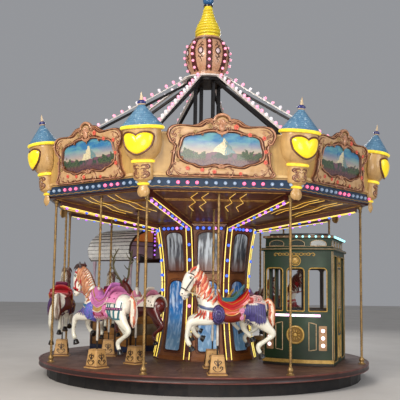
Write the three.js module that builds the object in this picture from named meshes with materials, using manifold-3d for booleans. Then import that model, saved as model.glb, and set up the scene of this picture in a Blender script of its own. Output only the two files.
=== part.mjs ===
// Fairground carousel: a round turning platform with ten rising animals, a tram cab and a plank
// wagon under an eight-sided canopy with picture boards, corner turrets and a crown.
// Millimetres, +Z up, origin on the ground under the centre. The front side faces -Y, azimuths
// are counted from it towards +X, and the ride turns clockwise seen from above.
import * as THREE from "three";
import { mergeVertices } from "three/addons/utils/BufferGeometryUtils.js";
import Module from "manifold-3d";

const wasm = await Module();
wasm.setup();

const SIDES = 8;
const SIDE_STEP = (2 * Math.PI) / SIDES;
const CORNER = SIDE_STEP / 2;
const GAP = 0.3; // between pieces that touch

// Platform, with every height above its top unless the name says ground
const DECK_TOP = 300;
const DECK_THICK = 60;
const DECK_R = 3000;
const RIM_THICK = 30;
const RIM_HEIGHT = 100;
const BASE_RING_IN = 2700;
const BASE_RING_OUT = 2850;
const BASE_RING_TOP = 180;
const BASE_HUB_R = 450;
const BEARING_TOP = 195;
const ROUND_FACETS = 40;

// Centre column: corner radius against height
const COLUMN_FOOT_R = 980;
const COLUMN_WAIST_R = 830;
const COLUMN_TOP_R = 970;
const COLUMN_WAIST_Z = 1200;
const CEILING_IN_Z = 2400;
const CEILING_OUT_Z = 2762;
const CEILING_THICK = 38;
const RIB_WIDTH = 150;
const RIB_DEPTH = 90; // below the ceiling's top face
const CANOPY_APOTHEM = 2800;

// Canopy skirt: light band, backing boards and picture boards lean out together
const LEAN = Math.atan(0.119);
const BAND_LOW = 2781;
const BAND_HIGH = 2939;
const BAND_THICK = 45;
const SKIRT_APOTHEM = 2853; // outer face of the backing boards at their foot
const SKIRT_LOW = 2941;
const SKIRT_HIGH = 3620;
const SKIRT_THICK = 22;
const FRAME_THICK = 60;
const PICTURE_THICK = 24;

// Roof and crown
const PILLAR_CIRCLE = 2888;
const PILLAR_R = 22;
const CROWN_FOOT_Z = 5240;
const BARREL_HEIGHT = 860;
const CONE_HEIGHT = 640;
const STRUT_FOOT_R = 2690;
const STRUT_FOOT_Z = 3730;
const STRUT_HEAD_R = 400;
const POST_CIRCLE = 250;

// Animals: two rows, at the middle of the sides that the carriages leave free
const OUTER_ROW = 2620;
const INNER_ROW = 1770;
const INNER_SCALE = 0.85;
const ANIMAL_SIDES = [0, 3, 4, 6, 7];
const ROD_LOW = 150;
const ROD_R = 12;
const POLE_LOW = 430;
const POLE_HIGH = 3020;
const POLE_R = 20;
const BORE_PLAY = 0.4;
const PEDESTAL_HEIGHT = 293;

// Carriages: middle of each, length along the circle and width across it
const CAB = { side: 1.5, row: 1900, length: 1600, width: 1200 };
const WAGON = { side: -3, row: 1900, length: 1320, width: 1140 };

const PAINT = {
  iron: [0x26262a, 0.7, 0.4],
  boards: [0x5c4038, 0.7, 0],
  rim: [0x7a3a2c, 0.5, 0],
  maroon: [0x6b1f1c, 0.5, 0],
  ceiling: [0x6a3524, 0.55, 0],
  blue: [0x1d3a7a, 0.45, 0],
  cream: [0xd9c09a, 0.5, 0],
  slate: [0x4a6f96, 0.5, 0],
  gold: [0xe0b83c, 0.4, 0.2],
  brass: [0xb58a45, 0.35, 0.9],
  white: [0xf0ece2, 0.4, 0],
  green: [0x16382a, 0.4, 0],
  plank: [0xb5763c, 0.6, 0],
  shingle: [0xc9c9c6, 0.7, 0],
  brown: [0x4e221a, 0.5, 0],
};

function paint(name) {
  const [color, roughness, metalness] = PAINT[name];
  return new THREE.MeshStandardMaterial({ color, roughness, metalness });
}

function toSolid(geometry) {
  const bare = geometry.index ? geometry.toNonIndexed() : geometry.clone();
  bare.deleteAttribute("normal");
  bare.deleteAttribute("uv");
  const merged = mergeVertices(bare, 1e-3);
  return new wasm.Manifold(
    new wasm.Mesh({
      numProp: 3,
      vertProperties: merged.attributes.position.array,
      triVerts: new Uint32Array(merged.index.array),
    }),
  );
}

function toGeometry(solid) {
  const mesh = solid.getMesh();
  const geometry = new THREE.BufferGeometry();
  geometry.setAttribute("position", new THREE.BufferAttribute(mesh.vertProperties, 3));
  geometry.setIndex(new THREE.BufferAttribute(mesh.triVerts, 1));
  return geometry;
}

function join(...geometries) {
  return toGeometry(geometries.map(toSolid).reduce((sum, next) => sum.add(next)));
}

function cut(geometry, ...tools) {
  return toGeometry(tools.map(toSolid).reduce((rest, tool) => rest.subtract(tool), toSolid(geometry)));
}

// A profile of [radius, height] pairs turned about the vertical axis
function turned(profile, segments, start = 0) {
  const points = profile.map(([r, z]) => new THREE.Vector2(r, z));
  return new THREE.LatheGeometry(points, segments, start).rotateX(Math.PI / 2);
}

// The same with eight flat sides and its corners where the canopy's are
function eightSided(profile) {
  return turned(profile, SIDES, CORNER);
}

function cornerRadius(apothem) {
  return apothem / Math.cos(CORNER);
}

function block(low, high) {
  const size = high.map((value, i) => value - low[i]);
  return new THREE.BoxGeometry(...size).translate(...low.map((value, i) => value + size[i] / 2));
}

// An outline in the XZ plane, from the face y = 0 outwards to y = -thick
function plate(outline, thick) {
  const geometry = new THREE.ExtrudeGeometry(outline, { depth: thick, bevelEnabled: false, curveSegments: 4 });
  return geometry.rotateX(Math.PI / 2);
}

// A bar of square section between two points given as [radius, height], lying over azimuth 0
function bar([r1, z1], [r2, z2], width, depth) {
  const length = Math.hypot(r2 - r1, z2 - z1);
  const tilt = Math.atan2(z2 - z1, r2 - r1);
  return new THREE.BoxGeometry(width, length, depth)
    .translate(0, -length / 2, 0)
    .rotateX(-tilt)
    .translate(0, -r1, z1);
}

// A closed limb of oval sections. A station is [x, z, half width, half height, y].
function limb(stations, sides) {
  const positions = [];
  const index = [];
  stations.forEach(([x, z, width, height, y = 0], s) => {
    const before = stations[Math.max(s - 1, 0)];
    const after = stations[Math.min(s + 1, stations.length - 1)];
    const along = new THREE.Vector2(x - before[0], z - before[1]).normalize();
    along.add(new THREE.Vector2(after[0] - x, after[1] - z).normalize()).normalize();
    for (let i = 0; i < sides; i += 1) {
      const turn = (2 * Math.PI * (i + 0.5)) / sides;
      const rise = height * Math.sin(turn);
      positions.push(x - along.y * rise, y + width * Math.cos(turn), z + along.x * rise);
    }
  });
  for (let s = 0; s + 1 < stations.length; s += 1) {
    for (let i = 0; i < sides; i += 1) {
      const a = s * sides + i;
      const b = s * sides + ((i + 1) % sides);
      index.push(a, b, b + sides, a, b + sides, a + sides);
    }
  }
  const last = (stations.length - 1) * sides;
  for (let i = 1; i + 1 < sides; i += 1) {
    index.push(0, i + 1, i, last, last + i, last + i + 1);
  }
  const geometry = new THREE.BufferGeometry();
  geometry.setAttribute("position", new THREE.Float32BufferAttribute(positions, 3));
  geometry.setIndex(index);
  return geometry;
}

const carousel = new THREE.Group();
const turntable = new THREE.Group(); // everything above the platform's top turns about the centre
turntable.position.z = DECK_TOP;
carousel.add(turntable);

function addPiece(name, geometry, finish, parent = turntable) {
  const mesh = new THREE.Mesh(geometry, paint(finish));
  mesh.name = name;
  parent.add(mesh);
  return mesh;
}

// A group turned to a side (0 to 8, half numbers for corners), its origin at the given radius
function atSide(side, radius = 0, height = 0) {
  const arm = new THREE.Group();
  arm.rotation.z = side * SIDE_STEP;
  const seat = new THREE.Group();
  seat.position.set(0, -radius, height);
  arm.add(seat);
  turntable.add(arm);
  return seat;
}

function ceilingUnder(radius) {
  const slope = (CEILING_OUT_Z - CEILING_IN_Z) / (cornerRadius(CANOPY_APOTHEM) - COLUMN_TOP_R);
  return CEILING_IN_Z + (radius - COLUMN_TOP_R) * slope;
}

function pillarTop() {
  const capR = 40;
  return ceilingUnder(PILLAR_CIRCLE - capR) - GAP;
}

// Where each animal's pole stands, and how it holds its head
const stalls = ANIMAL_SIDES.flatMap((side) => [
  { side, radius: OUTER_ROW, row: "outer", scale: 1, isArched: [3, 4, 7].includes(side) },
  { side, radius: INNER_ROW, row: "inner", scale: INNER_SCALE, isArched: [0, 6].includes(side) },
]);

function overStall(geometry, { side, radius }) {
  return geometry.translate(0, -radius, 0).rotateZ(side * SIDE_STEP);
}

// Fixed base: a centre plinth with the bearing face, arms, and the outer ring on the ground
function baseFrame() {
  const hub = turned([[0, 0], [BASE_HUB_R, 0], [BASE_HUB_R, BEARING_TOP], [0, BEARING_TOP]], 24);
  const ring = turned(
    [
      [BASE_RING_IN, 0],
      [BASE_RING_OUT, 0],
      [BASE_RING_OUT, BASE_RING_TOP],
      [BASE_RING_IN, BASE_RING_TOP],
      [BASE_RING_IN, 0],
    ],
    ROUND_FACETS,
  );
  const armTop = 140;
  const arms = Array.from({ length: SIDES }, (unused, k) =>
    block([-60, -BASE_RING_IN - 40, 20], [60, -BASE_HUB_R + 40, armTop]).rotateZ(k * SIDE_STEP),
  );
  return join(hub, ring, ...arms);
}

// Tapered pedestal with a flared foot, standing on the platform
function pedestal() {
  const corner = Math.SQRT2;
  return turned(
    [
      [0, -1],
      [150 * corner, -1],
      [150 * corner, 18],
      [128 * corner, 45],
      [95 * corner, PEDESTAL_HEIGHT],
      [0, PEDESTAL_HEIGHT],
    ],
    4,
    Math.PI / 4,
  );
}

function rodBore() {
  const r = ROD_R + BORE_PLAY;
  return turned([[0, 20], [r, 20], [r, PEDESTAL_HEIGHT + 20], [0, PEDESTAL_HEIGHT + 20]], 10);
}

// Round platform with its bearing hub below and the pedestals on top
function deck() {
  const edge = DECK_R - RIM_THICK - GAP;
  const bearing = BEARING_TOP + GAP - DECK_TOP;
  const disc = turned(
    [[0, bearing], [480, bearing], [480, -DECK_THICK], [edge, -DECK_THICK], [edge, 0], [0, 0]],
    ROUND_FACETS,
  );
  return cut(
    join(disc, ...stalls.map((stall) => overStall(pedestal(), stall))),
    ...stalls.map((stall) => overStall(rodBore(), stall)),
  );
}

function deckRim() {
  const low = -RIM_HEIGHT;
  const inner = DECK_R - RIM_THICK;
  return turned([[inner, low], [DECK_R, low], [DECK_R, 0], [inner, 0], [inner, low]], ROUND_FACETS);
}

// Casing round the centre machinery: wide foot, narrow waist, flaring again to the ceiling
function columnRadius(z) {
  const below = COLUMN_FOOT_R - COLUMN_WAIST_R;
  const above = COLUMN_TOP_R - COLUMN_WAIST_R;
  const lift = (z - COLUMN_WAIST_Z) / COLUMN_WAIST_Z;
  return COLUMN_WAIST_R + (lift < 0 ? below : above) * lift * lift;
}

function columnCasing() {
  const steps = [0, 300, 600, 900, 1200, 1600, 2000, CEILING_IN_Z - 20];
  const curve = steps.map((z) => [columnRadius(z), Math.max(z, GAP)]);
  const top = CEILING_IN_Z + 220;
  return eightSided([[0, GAP], ...curve, [COLUMN_TOP_R, CEILING_IN_Z], [COLUMN_TOP_R, top], [0, top]]);
}

// Eight sloping panels, open where the poles pass, with a deep rib below each corner line
function ceiling() {
  const inner = COLUMN_TOP_R + 2 * GAP;
  const outer = cornerRadius(CANOPY_APOTHEM);
  const shell = eightSided([
    [inner, CEILING_IN_Z],
    [outer, CEILING_OUT_Z],
    [outer, CEILING_OUT_Z + CEILING_THICK],
    [inner, CEILING_IN_Z + CEILING_THICK],
    [inner, CEILING_IN_Z],
  ]);
  const ribIn = COLUMN_TOP_R + 30;
  const ribOut = PILLAR_CIRCLE - 60;
  const drop = RIB_DEPTH / 2 - CEILING_THICK / 2;
  const rib = () =>
    bar([ribIn, ceilingUnder(ribIn) - drop], [ribOut, ceilingUnder(ribOut) - drop], RIB_WIDTH, RIB_DEPTH);
  const ribs = Array.from({ length: SIDES }, (unused, k) => rib().rotateZ(CORNER + k * SIDE_STEP));
  const slots = stalls.map((stall) => overStall(block([-45, -32, 2300], [45, 32, 2900]), stall));
  return cut(join(shell, ...ribs), ...slots);
}

function lightBand() {
  const inner = cornerRadius(CANOPY_APOTHEM + GAP);
  const outer = cornerRadius(CANOPY_APOTHEM + BAND_THICK);
  return eightSided([
    [inner, BAND_LOW],
    [outer, BAND_LOW],
    [outer, BAND_HIGH],
    [inner, BAND_HIGH],
    [inner, BAND_LOW],
  ]);
}

function skirtRadius(z, offset) {
  return cornerRadius(SKIRT_APOTHEM + offset + (z - SKIRT_LOW) * Math.tan(LEAN));
}

function backingBoards() {
  return eightSided([
    [skirtRadius(SKIRT_LOW, -SKIRT_THICK), SKIRT_LOW],
    [skirtRadius(SKIRT_LOW, 0), SKIRT_LOW],
    [skirtRadius(SKIRT_HIGH, 0), SKIRT_HIGH],
    [skirtRadius(SKIRT_HIGH, -SKIRT_THICK), SKIRT_HIGH],
    [skirtRadius(SKIRT_LOW, -SKIRT_THICK), SKIRT_LOW],
  ]);
}

// Half of the picture board's outline, from the foot's middle round to the crest, then mirrored
function boardOutline() {
  const half = [
    [0, 10],
    [770, 10],
    [842, 56],
    [800, 119],
    [766, 210],
    [755, 300],
    [743, 412],
    [722, 480],
    [800, 560],
    [836, 638],
    [824, 717],
    [766, 780],
    [662, 802],
    [547, 800],
    [420, 796],
    [327, 813],
    [269, 859],
    [177, 890],
    [110, 920],
    [73, 960],
    [0, 994],
  ];
  const other = half.slice(1, -1).reverse().map(([x, z]) => [-x, z]);
  return new THREE.Shape([...half, ...other].map(([x, z]) => new THREE.Vector2(x, z)));
}

function pictureOpening() {
  const half = [
    [0, 205],
    [96, 222],
    [188, 198],
    [304, 182],
    [408, 222],
    [466, 225],
    [593, 285],
    [628, 380],
    [600, 480],
    [565, 590],
    [466, 632],
    [327, 650],
    [210, 684],
    [100, 688],
    [0, 668],
  ];
  const other = half.slice(1, -1).reverse().map(([x, z]) => [-x, z]);
  return new THREE.Path([...half, ...other].map(([x, z]) => new THREE.Vector2(x, z)));
}

function pictureBoard() {
  const frame = boardOutline();
  frame.holes.push(pictureOpening());
  return join(plate(frame, FRAME_THICK), plate(boardOutline(), PICTURE_THICK));
}

// Corner turret: drop ball, scroll corbel, heart barrel between two rings, and a spiked cone
function turret() {
  const oval = 0.78;
  return turned(
    [
      [0, 2631],
      [60, 2645],
      [99, 2700],
      [99, 2745],
      [70, 2800],
      [98, 2836],
      [80, 2862],
      [150, 2905],
      [158, 3000],
      [152, 3150],
      [185, 3215],
      [262, 3300],
      [300, 3430],
      [300, 3650],
      [345, 3675],
      [335, 3705],
      [45, 4030],
      [40, 4055],
      [68, 4083],
      [30, 4110],
      [0, 4230],
    ],
    10,
  ).scale(1, oval, 1);
}

// What the turrets must leave free: the canopy's skirt, band and ceiling edge
function skirtCore() {
  const foot = 2600;
  const top = SKIRT_HIGH + GAP;
  const band = cornerRadius(CANOPY_APOTHEM + BAND_THICK + GAP);
  return eightSided([
    [0, foot],
    [band, foot],
    [band, BAND_HIGH + GAP],
    [skirtRadius(BAND_HIGH + GAP, GAP), BAND_HIGH + GAP],
    [skirtRadius(top, GAP), top],
    [0, top],
  ]);
}

function turretAxis(z) {
  return 3021 + (z - 2631) * Math.tan(LEAN);
}

function fittedTurret() {
  const pivot = 2631;
  const standing = turret()
    .translate(0, 0, -pivot)
    .rotateX(LEAN)
    .translate(0, -turretAxis(pivot), pivot)
    .rotateZ(CORNER);
  const pieces = toSolid(cut(standing, skirtCore())).decompose();
  const largest = pieces.reduce((best, next) => (next.volume() > best.volume() ? next : best));
  return toGeometry(largest).rotateZ(-CORNER);
}

// Pillar of twisted brass between platform and ceiling, with a cup foot and a cap
function pillar() {
  const top = pillarTop();
  return turned(
    [
      [0, GAP],
      [62, GAP],
      [62, 16],
      [34, 40],
      [46, 75],
      [PILLAR_R, 120],
      [PILLAR_R, top - 90],
      [40, top - 60],
      [40, top],
      [0, top],
    ],
    10,
  );
}

// Open roof: struts from the ceiling's edge up to the crown's foot, and a truss of four posts
function roofFrame() {
  const legFoot = ceilingUnder(STRUT_FOOT_R + 60) + CEILING_THICK + 4;
  const columnTop = CEILING_IN_Z + 220 + GAP;
  const ring = turned(
    [
      [0, CROWN_FOOT_Z - 60],
      [STRUT_HEAD_R, CROWN_FOOT_Z - 60],
      [STRUT_HEAD_R, CROWN_FOOT_Z - GAP],
      [0, CROWN_FOOT_Z - GAP],
    ],
    16,
  );
  const strut = () =>
    join(
      bar([STRUT_HEAD_R - 60, CROWN_FOOT_Z - 50], [STRUT_FOOT_R, STRUT_FOOT_Z], 46, 46),
      block([-23, -STRUT_FOOT_R - 23, legFoot], [23, -STRUT_FOOT_R + 23, STRUT_FOOT_Z + 8]),
    );
  const struts = Array.from({ length: SIDES }, (unused, k) => strut().rotateZ(CORNER + k * SIDE_STEP));
  const posts = Array.from({ length: 4 }, (unused, k) =>
    block([-28, -POST_CIRCLE - 28, columnTop], [28, -POST_CIRCLE + 28, CROWN_FOOT_Z - 30]).rotateZ(
      CORNER + (k * Math.PI) / 2,
    ),
  );
  return join(ring, ...struts, ...posts);
}

// White light strips lying over the struts, held together by a collar round the crown's foot
function lightStrips() {
  const rise = 24 + 9 + 1;
  const collar = turned(
    [
      [345, CROWN_FOOT_Z + GAP],
      [500, CROWN_FOOT_Z + GAP],
      [500, CROWN_FOOT_Z + 24],
      [345, CROWN_FOOT_Z + 24],
      [345, CROWN_FOOT_Z + GAP],
    ],
    16,
  );
  const strip = () =>
    bar([430, CROWN_FOOT_Z - 12 + rise], [STRUT_FOOT_R + 20, STRUT_FOOT_Z + rise], 70, 18);
  const strips = Array.from({ length: SIDES }, (unused, k) => strip().rotateZ(CORNER + k * SIDE_STEP));
  return join(collar, ...strips);
}

function crownBarrel() {
  const z = CROWN_FOOT_Z;
  return turned(
    [
      [0, z],
      [335, z],
      [335, z + 125],
      [315, z + 132],
      [378, z + 230],
      [430, z + 460],
      [408, z + 620],
      [320, z + 760],
      [262, z + 812],
      [262, z + BARREL_HEIGHT],
      [0, z + BARREL_HEIGHT],
    ],
    16,
  );
}

// The coiled cone, bottle-shaped: wide and round below, drawn in to a neck above
function crownCone() {
  const foot = CROWN_FOOT_Z + BARREL_HEIGHT + GAP;
  return turned(
    [
      [0, foot],
      [232, foot],
      [257, foot + 75],
      [254, foot + 150],
      [214, foot + 260],
      [157, foot + 370],
      [115, foot + 500],
      [91, foot + CONE_HEIGHT],
      [0, foot + CONE_HEIGHT],
    ],
    14,
  );
}

function crownFinial() {
  const foot = CROWN_FOOT_Z + BARREL_HEIGHT + CONE_HEIGHT + 2 * GAP;
  return turned(
    [
      [0, foot],
      [92, foot],
      [92, foot + 40],
      [60, foot + 50],
      [104, foot + 110],
      [100, foot + 160],
      [55, foot + 215],
      [22, foot + 235],
      [0, foot + 430],
    ],
    12,
  );
}

// A window or doorway cut: a box from one side of a wall to the other
function hole(x, y, z, size) {
  return block([x - size[0] / 2, y - size[1] / 2, z], [x + size[0] / 2, y + size[1] / 2, z + size[2]]);
}

function cabPlan(grow) {
  const back = CAB.length / 2 + grow;
  const side = CAB.width / 2 + grow;
  const front = -CAB.length / 2 + 110 - grow;
  const plan = new THREE.Shape();
  plan.moveTo(back, -side);
  plan.lineTo(back, side);
  plan.lineTo(front, side);
  plan.quadraticCurveTo(front - 220, 0, front, -side);
  return plan;
}

function storey(plan, low, high) {
  const options = { depth: high - low, bevelEnabled: false, curveSegments: 9 };
  return new THREE.ExtrudeGeometry(plan, options).translate(0, 0, low);
}

// Tram cab: a hollow body with windows all round, two doorways on the outer side and, between
// them, two benches back to back
function cabBody() {
  const wall = 45;
  const floor = 60;
  const top = 1930;
  const sill = 910;
  const pane = 724;
  const outer = CAB.width / 2;
  const shell = cut(storey(cabPlan(0), GAP, top), storey(cabPlan(-wall), floor, top + 10));
  const windows = [];
  for (const y of [-352, 0, 352]) {
    windows.push(hole(-740, y, sill, [340, 296, pane]), hole(800, y, sill, [200, 296, pane]));
  }
  for (const x of [-430, 50, 530]) {
    windows.push(hole(x, outer, sill, [380, 200, pane]));
  }
  for (const x of [-60, 100]) {
    windows.push(hole(x, -outer, 980, [70, 200, 640]));
  }
  for (const x of [-410, 460]) {
    windows.push(hole(x, -outer, floor, [390, 200, 1790]));
  }
  const bench = block([-300, -outer + wall - 5, floor - 5], [340, outer - wall + 5, 430]);
  const back = block([-10, -outer + wall - 5, 425], [50, outer - wall + 5, 950]);
  return join(cut(shell, ...windows), bench, back);
}

// Cab roof: cornice, a raised row of lights, and a low cambered top
function cabRoof() {
  const foot = 1930 + GAP;
  return join(
    storey(cabPlan(35), foot, foot + 50),
    storey(cabPlan(-30), foot + 40, 2150),
    storey(cabPlan(10), 2140, 2190),
    storey(cabPlan(-90), 2180, 2230),
  );
}

// Plank wagon: floor, low plank walls with a way in on the outer side, benches, and four corner posts
function wagonBody() {
  const x = WAGON.length / 2;
  const y = WAGON.width / 2;
  const wall = 50;
  const rail = 760;
  const eaves = 1760;
  const tub = cut(
    block([-x, -y, GAP], [x, y, rail]),
    block([-x + wall, -y + wall, 110], [x - wall, y - wall, rail + 10]),
    hole(0, -y, 110, [480, 200, rail]),
  );
  const posts = [];
  for (const side of [-1, 1]) {
    for (const end of [-1, 1]) {
      posts.push(hole(end * (x - 40), side * (y - 40), 100, [80, 80, eaves - 100]));
    }
  }
  const bench = (x1, x2) => block([x1, -y + wall - 5, 105], [x2, y - wall + 5, 450]);
  return join(tub, ...posts, bench(-x + wall - 5, -290), bench(290, x - wall + 5));
}

// Curved shingled roof that springs from the wagon's two ends, closed by a gable over each long side
function wagonRoof() {
  const half = WAGON.length / 2 + 90;
  const y = WAGON.width / 2 + 40;
  const eaves = 1760 + GAP;
  const rise = 450;
  const drop = 210;
  const steps = 14;
  const arc = (inset) => {
    const foot = -Math.asin(drop / (rise - inset));
    const points = [];
    for (let i = 0; i <= steps; i += 1) {
      const t = foot + ((Math.PI - 2 * foot) * i) / steps;
      points.push([(half - inset) * Math.cos(t), eaves + drop + (rise - inset) * Math.sin(t)]);
    }
    return points;
  };
  const outline = (points) => new THREE.Shape(points.map(([x, z]) => new THREE.Vector2(x, z)));
  const across = (shape, y1, y2) =>
    new THREE.ExtrudeGeometry(shape, { depth: y2 - y1, bevelEnabled: false })
      .rotateX(Math.PI / 2)
      .translate(0, y2, 0);
  const vault = outline([...arc(0), ...arc(45).reverse()]);
  const gable = outline(arc(20));
  return join(across(vault, -y, y), across(gable, -y + 60, -y + 100), across(gable, y - 100, y - 60));
}

// Pole of an animal: a thin rod that slides in the pedestal, then the brass tube up through the ceiling
function animalPole() {
  return turned(
    [
      [0, ROD_LOW],
      [ROD_R, ROD_LOW],
      [ROD_R, POLE_LOW],
      [POLE_R, POLE_LOW],
      [POLE_R, POLE_HIGH],
      [0, POLE_HIGH],
    ],
    10,
  );
}

// Stations of neck and head, from the chest up: looking ahead, arched with the chin drawn in, or low
const HEAD_RAISED = [
  [-180, 1160, 95, 150],
  [-225, 1370, 66, 112],
  [-285, 1495, 58, 90],
  [-400, 1470, 70, 100],
  [-460, 1350, 60, 90],
  [-530, 1215, 46, 60],
];
const HEAD_ARCHED = [
  [-200, 1170, 95, 150],
  [-290, 1380, 68, 120],
  [-370, 1520, 60, 90],
  [-470, 1525, 60, 80],
  [-555, 1400, 68, 90],
  [-565, 1240, 58, 70],
  [-550, 1100, 46, 52],
];
const HEAD_LOWERED = [
  [-190, 1130, 95, 150],
  [-270, 1270, 70, 115],
  [-345, 1370, 62, 95],
  [-440, 1365, 68, 92],
  [-540, 1290, 58, 74],
  [-640, 1225, 46, 54],
];
const EARS = new Map([
  [HEAD_RAISED, [-300, 1535]],
  [HEAD_ARCHED, [-400, 1570]],
  [HEAD_LOWERED, [-375, 1430]],
]);

// Jumping horse, facing -X, its pole at the origin; near is the side towards the crowd (-Y)
function horseParts(head) {
  const [earX, earZ] = EARS.get(head);
  const trunk = limb(
    [
      [735, 1000, 95, 105],
      [610, 985, 180, 190],
      [440, 965, 190, 185],
      [230, 930, 175, 145],
      [40, 915, 175, 170],
      [-110, 960, 150, 215],
      ...head,
    ],
    6,
  );
  const ears = [-38, 38].map((y) => limb([[earX, earZ, 18, 26, y], [earX - 8, earZ + 85, 5, 6, y]], 4));
  const tail = limb(
    [
      [680, 1050, 45, 45],
      [790, 1075, 50, 40],
      [845, 950, 55, 50],
      [835, 800, 50, 50],
      [820, 670, 18, 18],
    ],
    4,
  );
  const saddle = limb(
    [
      [-15, 1240, 60, 25],
      [20, 1120, 150, 45],
      [130, 1055, 185, 45],
      [270, 1055, 190, 45],
      [390, 1140, 170, 45],
      [440, 1215, 110, 25],
    ],
    4,
  );
  const roll = limb([[430, 1120, 165, 55], [560, 1110, 160, 55]], 4);
  const foreNear = limb(
    [
      [10, 860, 70, 110, -95],
      [-230, 810, 60, 90, -105],
      [-425, 770, 45, 58, -105],
      [-478, 560, 32, 36, -105],
      [-440, 460, 40, 42, -105],
      [-390, 370, 48, 52, -105],
    ],
    4,
  );
  const foreFar = limb(
    [
      [10, 860, 70, 110, 95],
      [-210, 800, 60, 90, 105],
      [-375, 750, 45, 55, 105],
      [-350, 610, 34, 38, 105],
      [-235, 530, 48, 50, 105],
    ],
    4,
  );
  const hindNear = limb(
    [
      [470, 960, 80, 150, -100],
      [660, 770, 70, 100, -110],
      [835, 615, 42, 52, -110],
      [590, 440, 36, 42, -110],
      [615, 350, 34, 36, -110],
      [665, 270, 50, 52, -110],
    ],
    4,
  );
  const hindFar = limb(
    [
      [480, 940, 80, 140, 100],
      [390, 770, 62, 80, 110],
      [425, 640, 36, 42, 110],
      [540, 530, 48, 48, 110],
    ],
    4,
  );
  return [trunk, ...ears, tail, saddle, roll, foreNear, foreFar, hindNear, hindFar];
}

// Antlers for the deer: two swept beams with two tines each
function antlers() {
  const beams = [];
  for (const side of [-1, 1]) {
    beams.push(
      limb(
        [
          [-370, 1400, 22, 24, side * 45],
          [-410, 1560, 22, 24, side * 150],
          [-460, 1740, 20, 22, side * 220],
          [-430, 1940, 17, 19, side * 235],
          [-340, 2110, 9, 10, side * 190],
        ],
        4,
      ),
      limb([[-450, 1690, 15, 17, side * 205], [-590, 1790, 9, 10, side * 195]], 4),
      limb([[-440, 1900, 14, 16, side * 230], [-550, 2040, 8, 9, side * 205]], 4),
    );
  }
  return beams;
}

// The pole is full size on every animal, so the shape is scaled about a point on it before the bore is cut
function animal(head, extra, scale) {
  const middle = 900;
  const bore = turned(
    [
      [0, 0],
      [POLE_R + BORE_PLAY, 0],
      [POLE_R + BORE_PLAY, 2000],
      [0, 2000],
    ],
    10,
  );
  const shape = join(...horseParts(head), ...extra)
    .translate(0, 0, -middle)
    .scale(scale, scale, scale)
    .translate(0, 0, middle);
  return cut(shape, bore);
}

addPiece("base_frame", baseFrame(), "iron", carousel);
addPiece("deck", deck(), "boards");
addPiece("deck_rim", deckRim(), "rim");
addPiece("column_casing", columnCasing(), "maroon");
addPiece("ceiling", ceiling(), "ceiling");
addPiece("light_band", lightBand(), "blue");
addPiece("backing_boards", backingBoards(), "cream");
addPiece("roof_frame", roofFrame(), "iron");
addPiece("light_strips", lightStrips(), "white");
addPiece("crown_barrel", crownBarrel(), "cream");
addPiece("crown_cone", crownCone(), "gold");
addPiece("crown_finial", crownFinial(), "slate");

const turretShape = fittedTurret();
const boardShape = pictureBoard();
for (let k = 0; k < SIDES; k += 1) {
  const boardSeat = atSide(k, SKIRT_APOTHEM + GAP, SKIRT_LOW);
  boardSeat.rotation.x = LEAN;
  addPiece(`picture_board_${k + 1}`, boardShape, "cream", boardSeat);
  addPiece(`turret_${k + 1}`, turretShape, "slate", atSide(k + 0.5));
  addPiece(`pillar_${k + 1}`, pillar(), "brass", atSide(k + 0.5, PILLAR_CIRCLE));
}

const cabSeat = atSide(CAB.side, CAB.row);
addPiece("cab_body", cabBody(), "green", cabSeat);
addPiece("cab_roof", cabRoof(), "green", cabSeat);
const wagonSeat = atSide(WAGON.side, WAGON.row);
addPiece("wagon_body", wagonBody(), "plank", wagonSeat);
addPiece("wagon_roof", wagonRoof(), "shingle", wagonSeat);

stalls.forEach(({ side, radius, row, scale, isArched }) => {
  const isDeer = row === "inner" && side === 7;
  const seat = atSide(side, radius);
  const horseHead = isArched ? HEAD_ARCHED : HEAD_RAISED;
  const shape = isDeer ? animal(HEAD_LOWERED, antlers(), scale) : animal(horseHead, [], scale);
  addPiece(`${isDeer ? "deer" : "horse"}_${row}_${side + 1}`, shape, isDeer ? "brown" : "white", seat);
  addPiece(`pole_${row}_${side + 1}`, animalPole(), "brass", seat);
});

export default carousel;
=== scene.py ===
import random
from math import asin, atan, atan2, copysign, cos, exp, pi, radians, sin, sqrt, tan

import bmesh
import bpy
import numpy as np
from mathutils import Matrix, Vector
from mathutils.bvhtree import BVHTree


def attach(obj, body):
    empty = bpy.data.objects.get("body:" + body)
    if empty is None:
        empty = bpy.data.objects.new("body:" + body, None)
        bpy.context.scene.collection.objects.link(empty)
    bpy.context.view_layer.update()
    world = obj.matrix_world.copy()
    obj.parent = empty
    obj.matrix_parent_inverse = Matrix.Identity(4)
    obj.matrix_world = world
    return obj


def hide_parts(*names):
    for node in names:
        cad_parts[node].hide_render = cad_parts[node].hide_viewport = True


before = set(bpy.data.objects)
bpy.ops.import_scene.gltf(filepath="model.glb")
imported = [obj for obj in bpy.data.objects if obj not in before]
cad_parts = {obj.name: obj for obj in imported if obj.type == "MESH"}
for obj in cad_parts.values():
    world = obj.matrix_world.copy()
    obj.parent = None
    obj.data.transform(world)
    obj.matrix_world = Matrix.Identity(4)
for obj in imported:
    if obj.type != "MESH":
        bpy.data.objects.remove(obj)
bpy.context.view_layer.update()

# Fixed base: a centre plinth, eight arms and a ring of welded flat steel on the floor. It is sprayed
# dark and mostly hidden by the turning platform, so only its outer ring shows in the recess.


def ink(code):
    """Paint colour from the six-digit code on a colour card, as linear light."""
    parts = [int(code[i:i + 2], 16) / 255 for i in (0, 2, 4)]
    return [c / 12.92 if c < 0.04045 else ((c + 0.055) / 1.055) ** 2.4 for c in parts] + [1.0]


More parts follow.
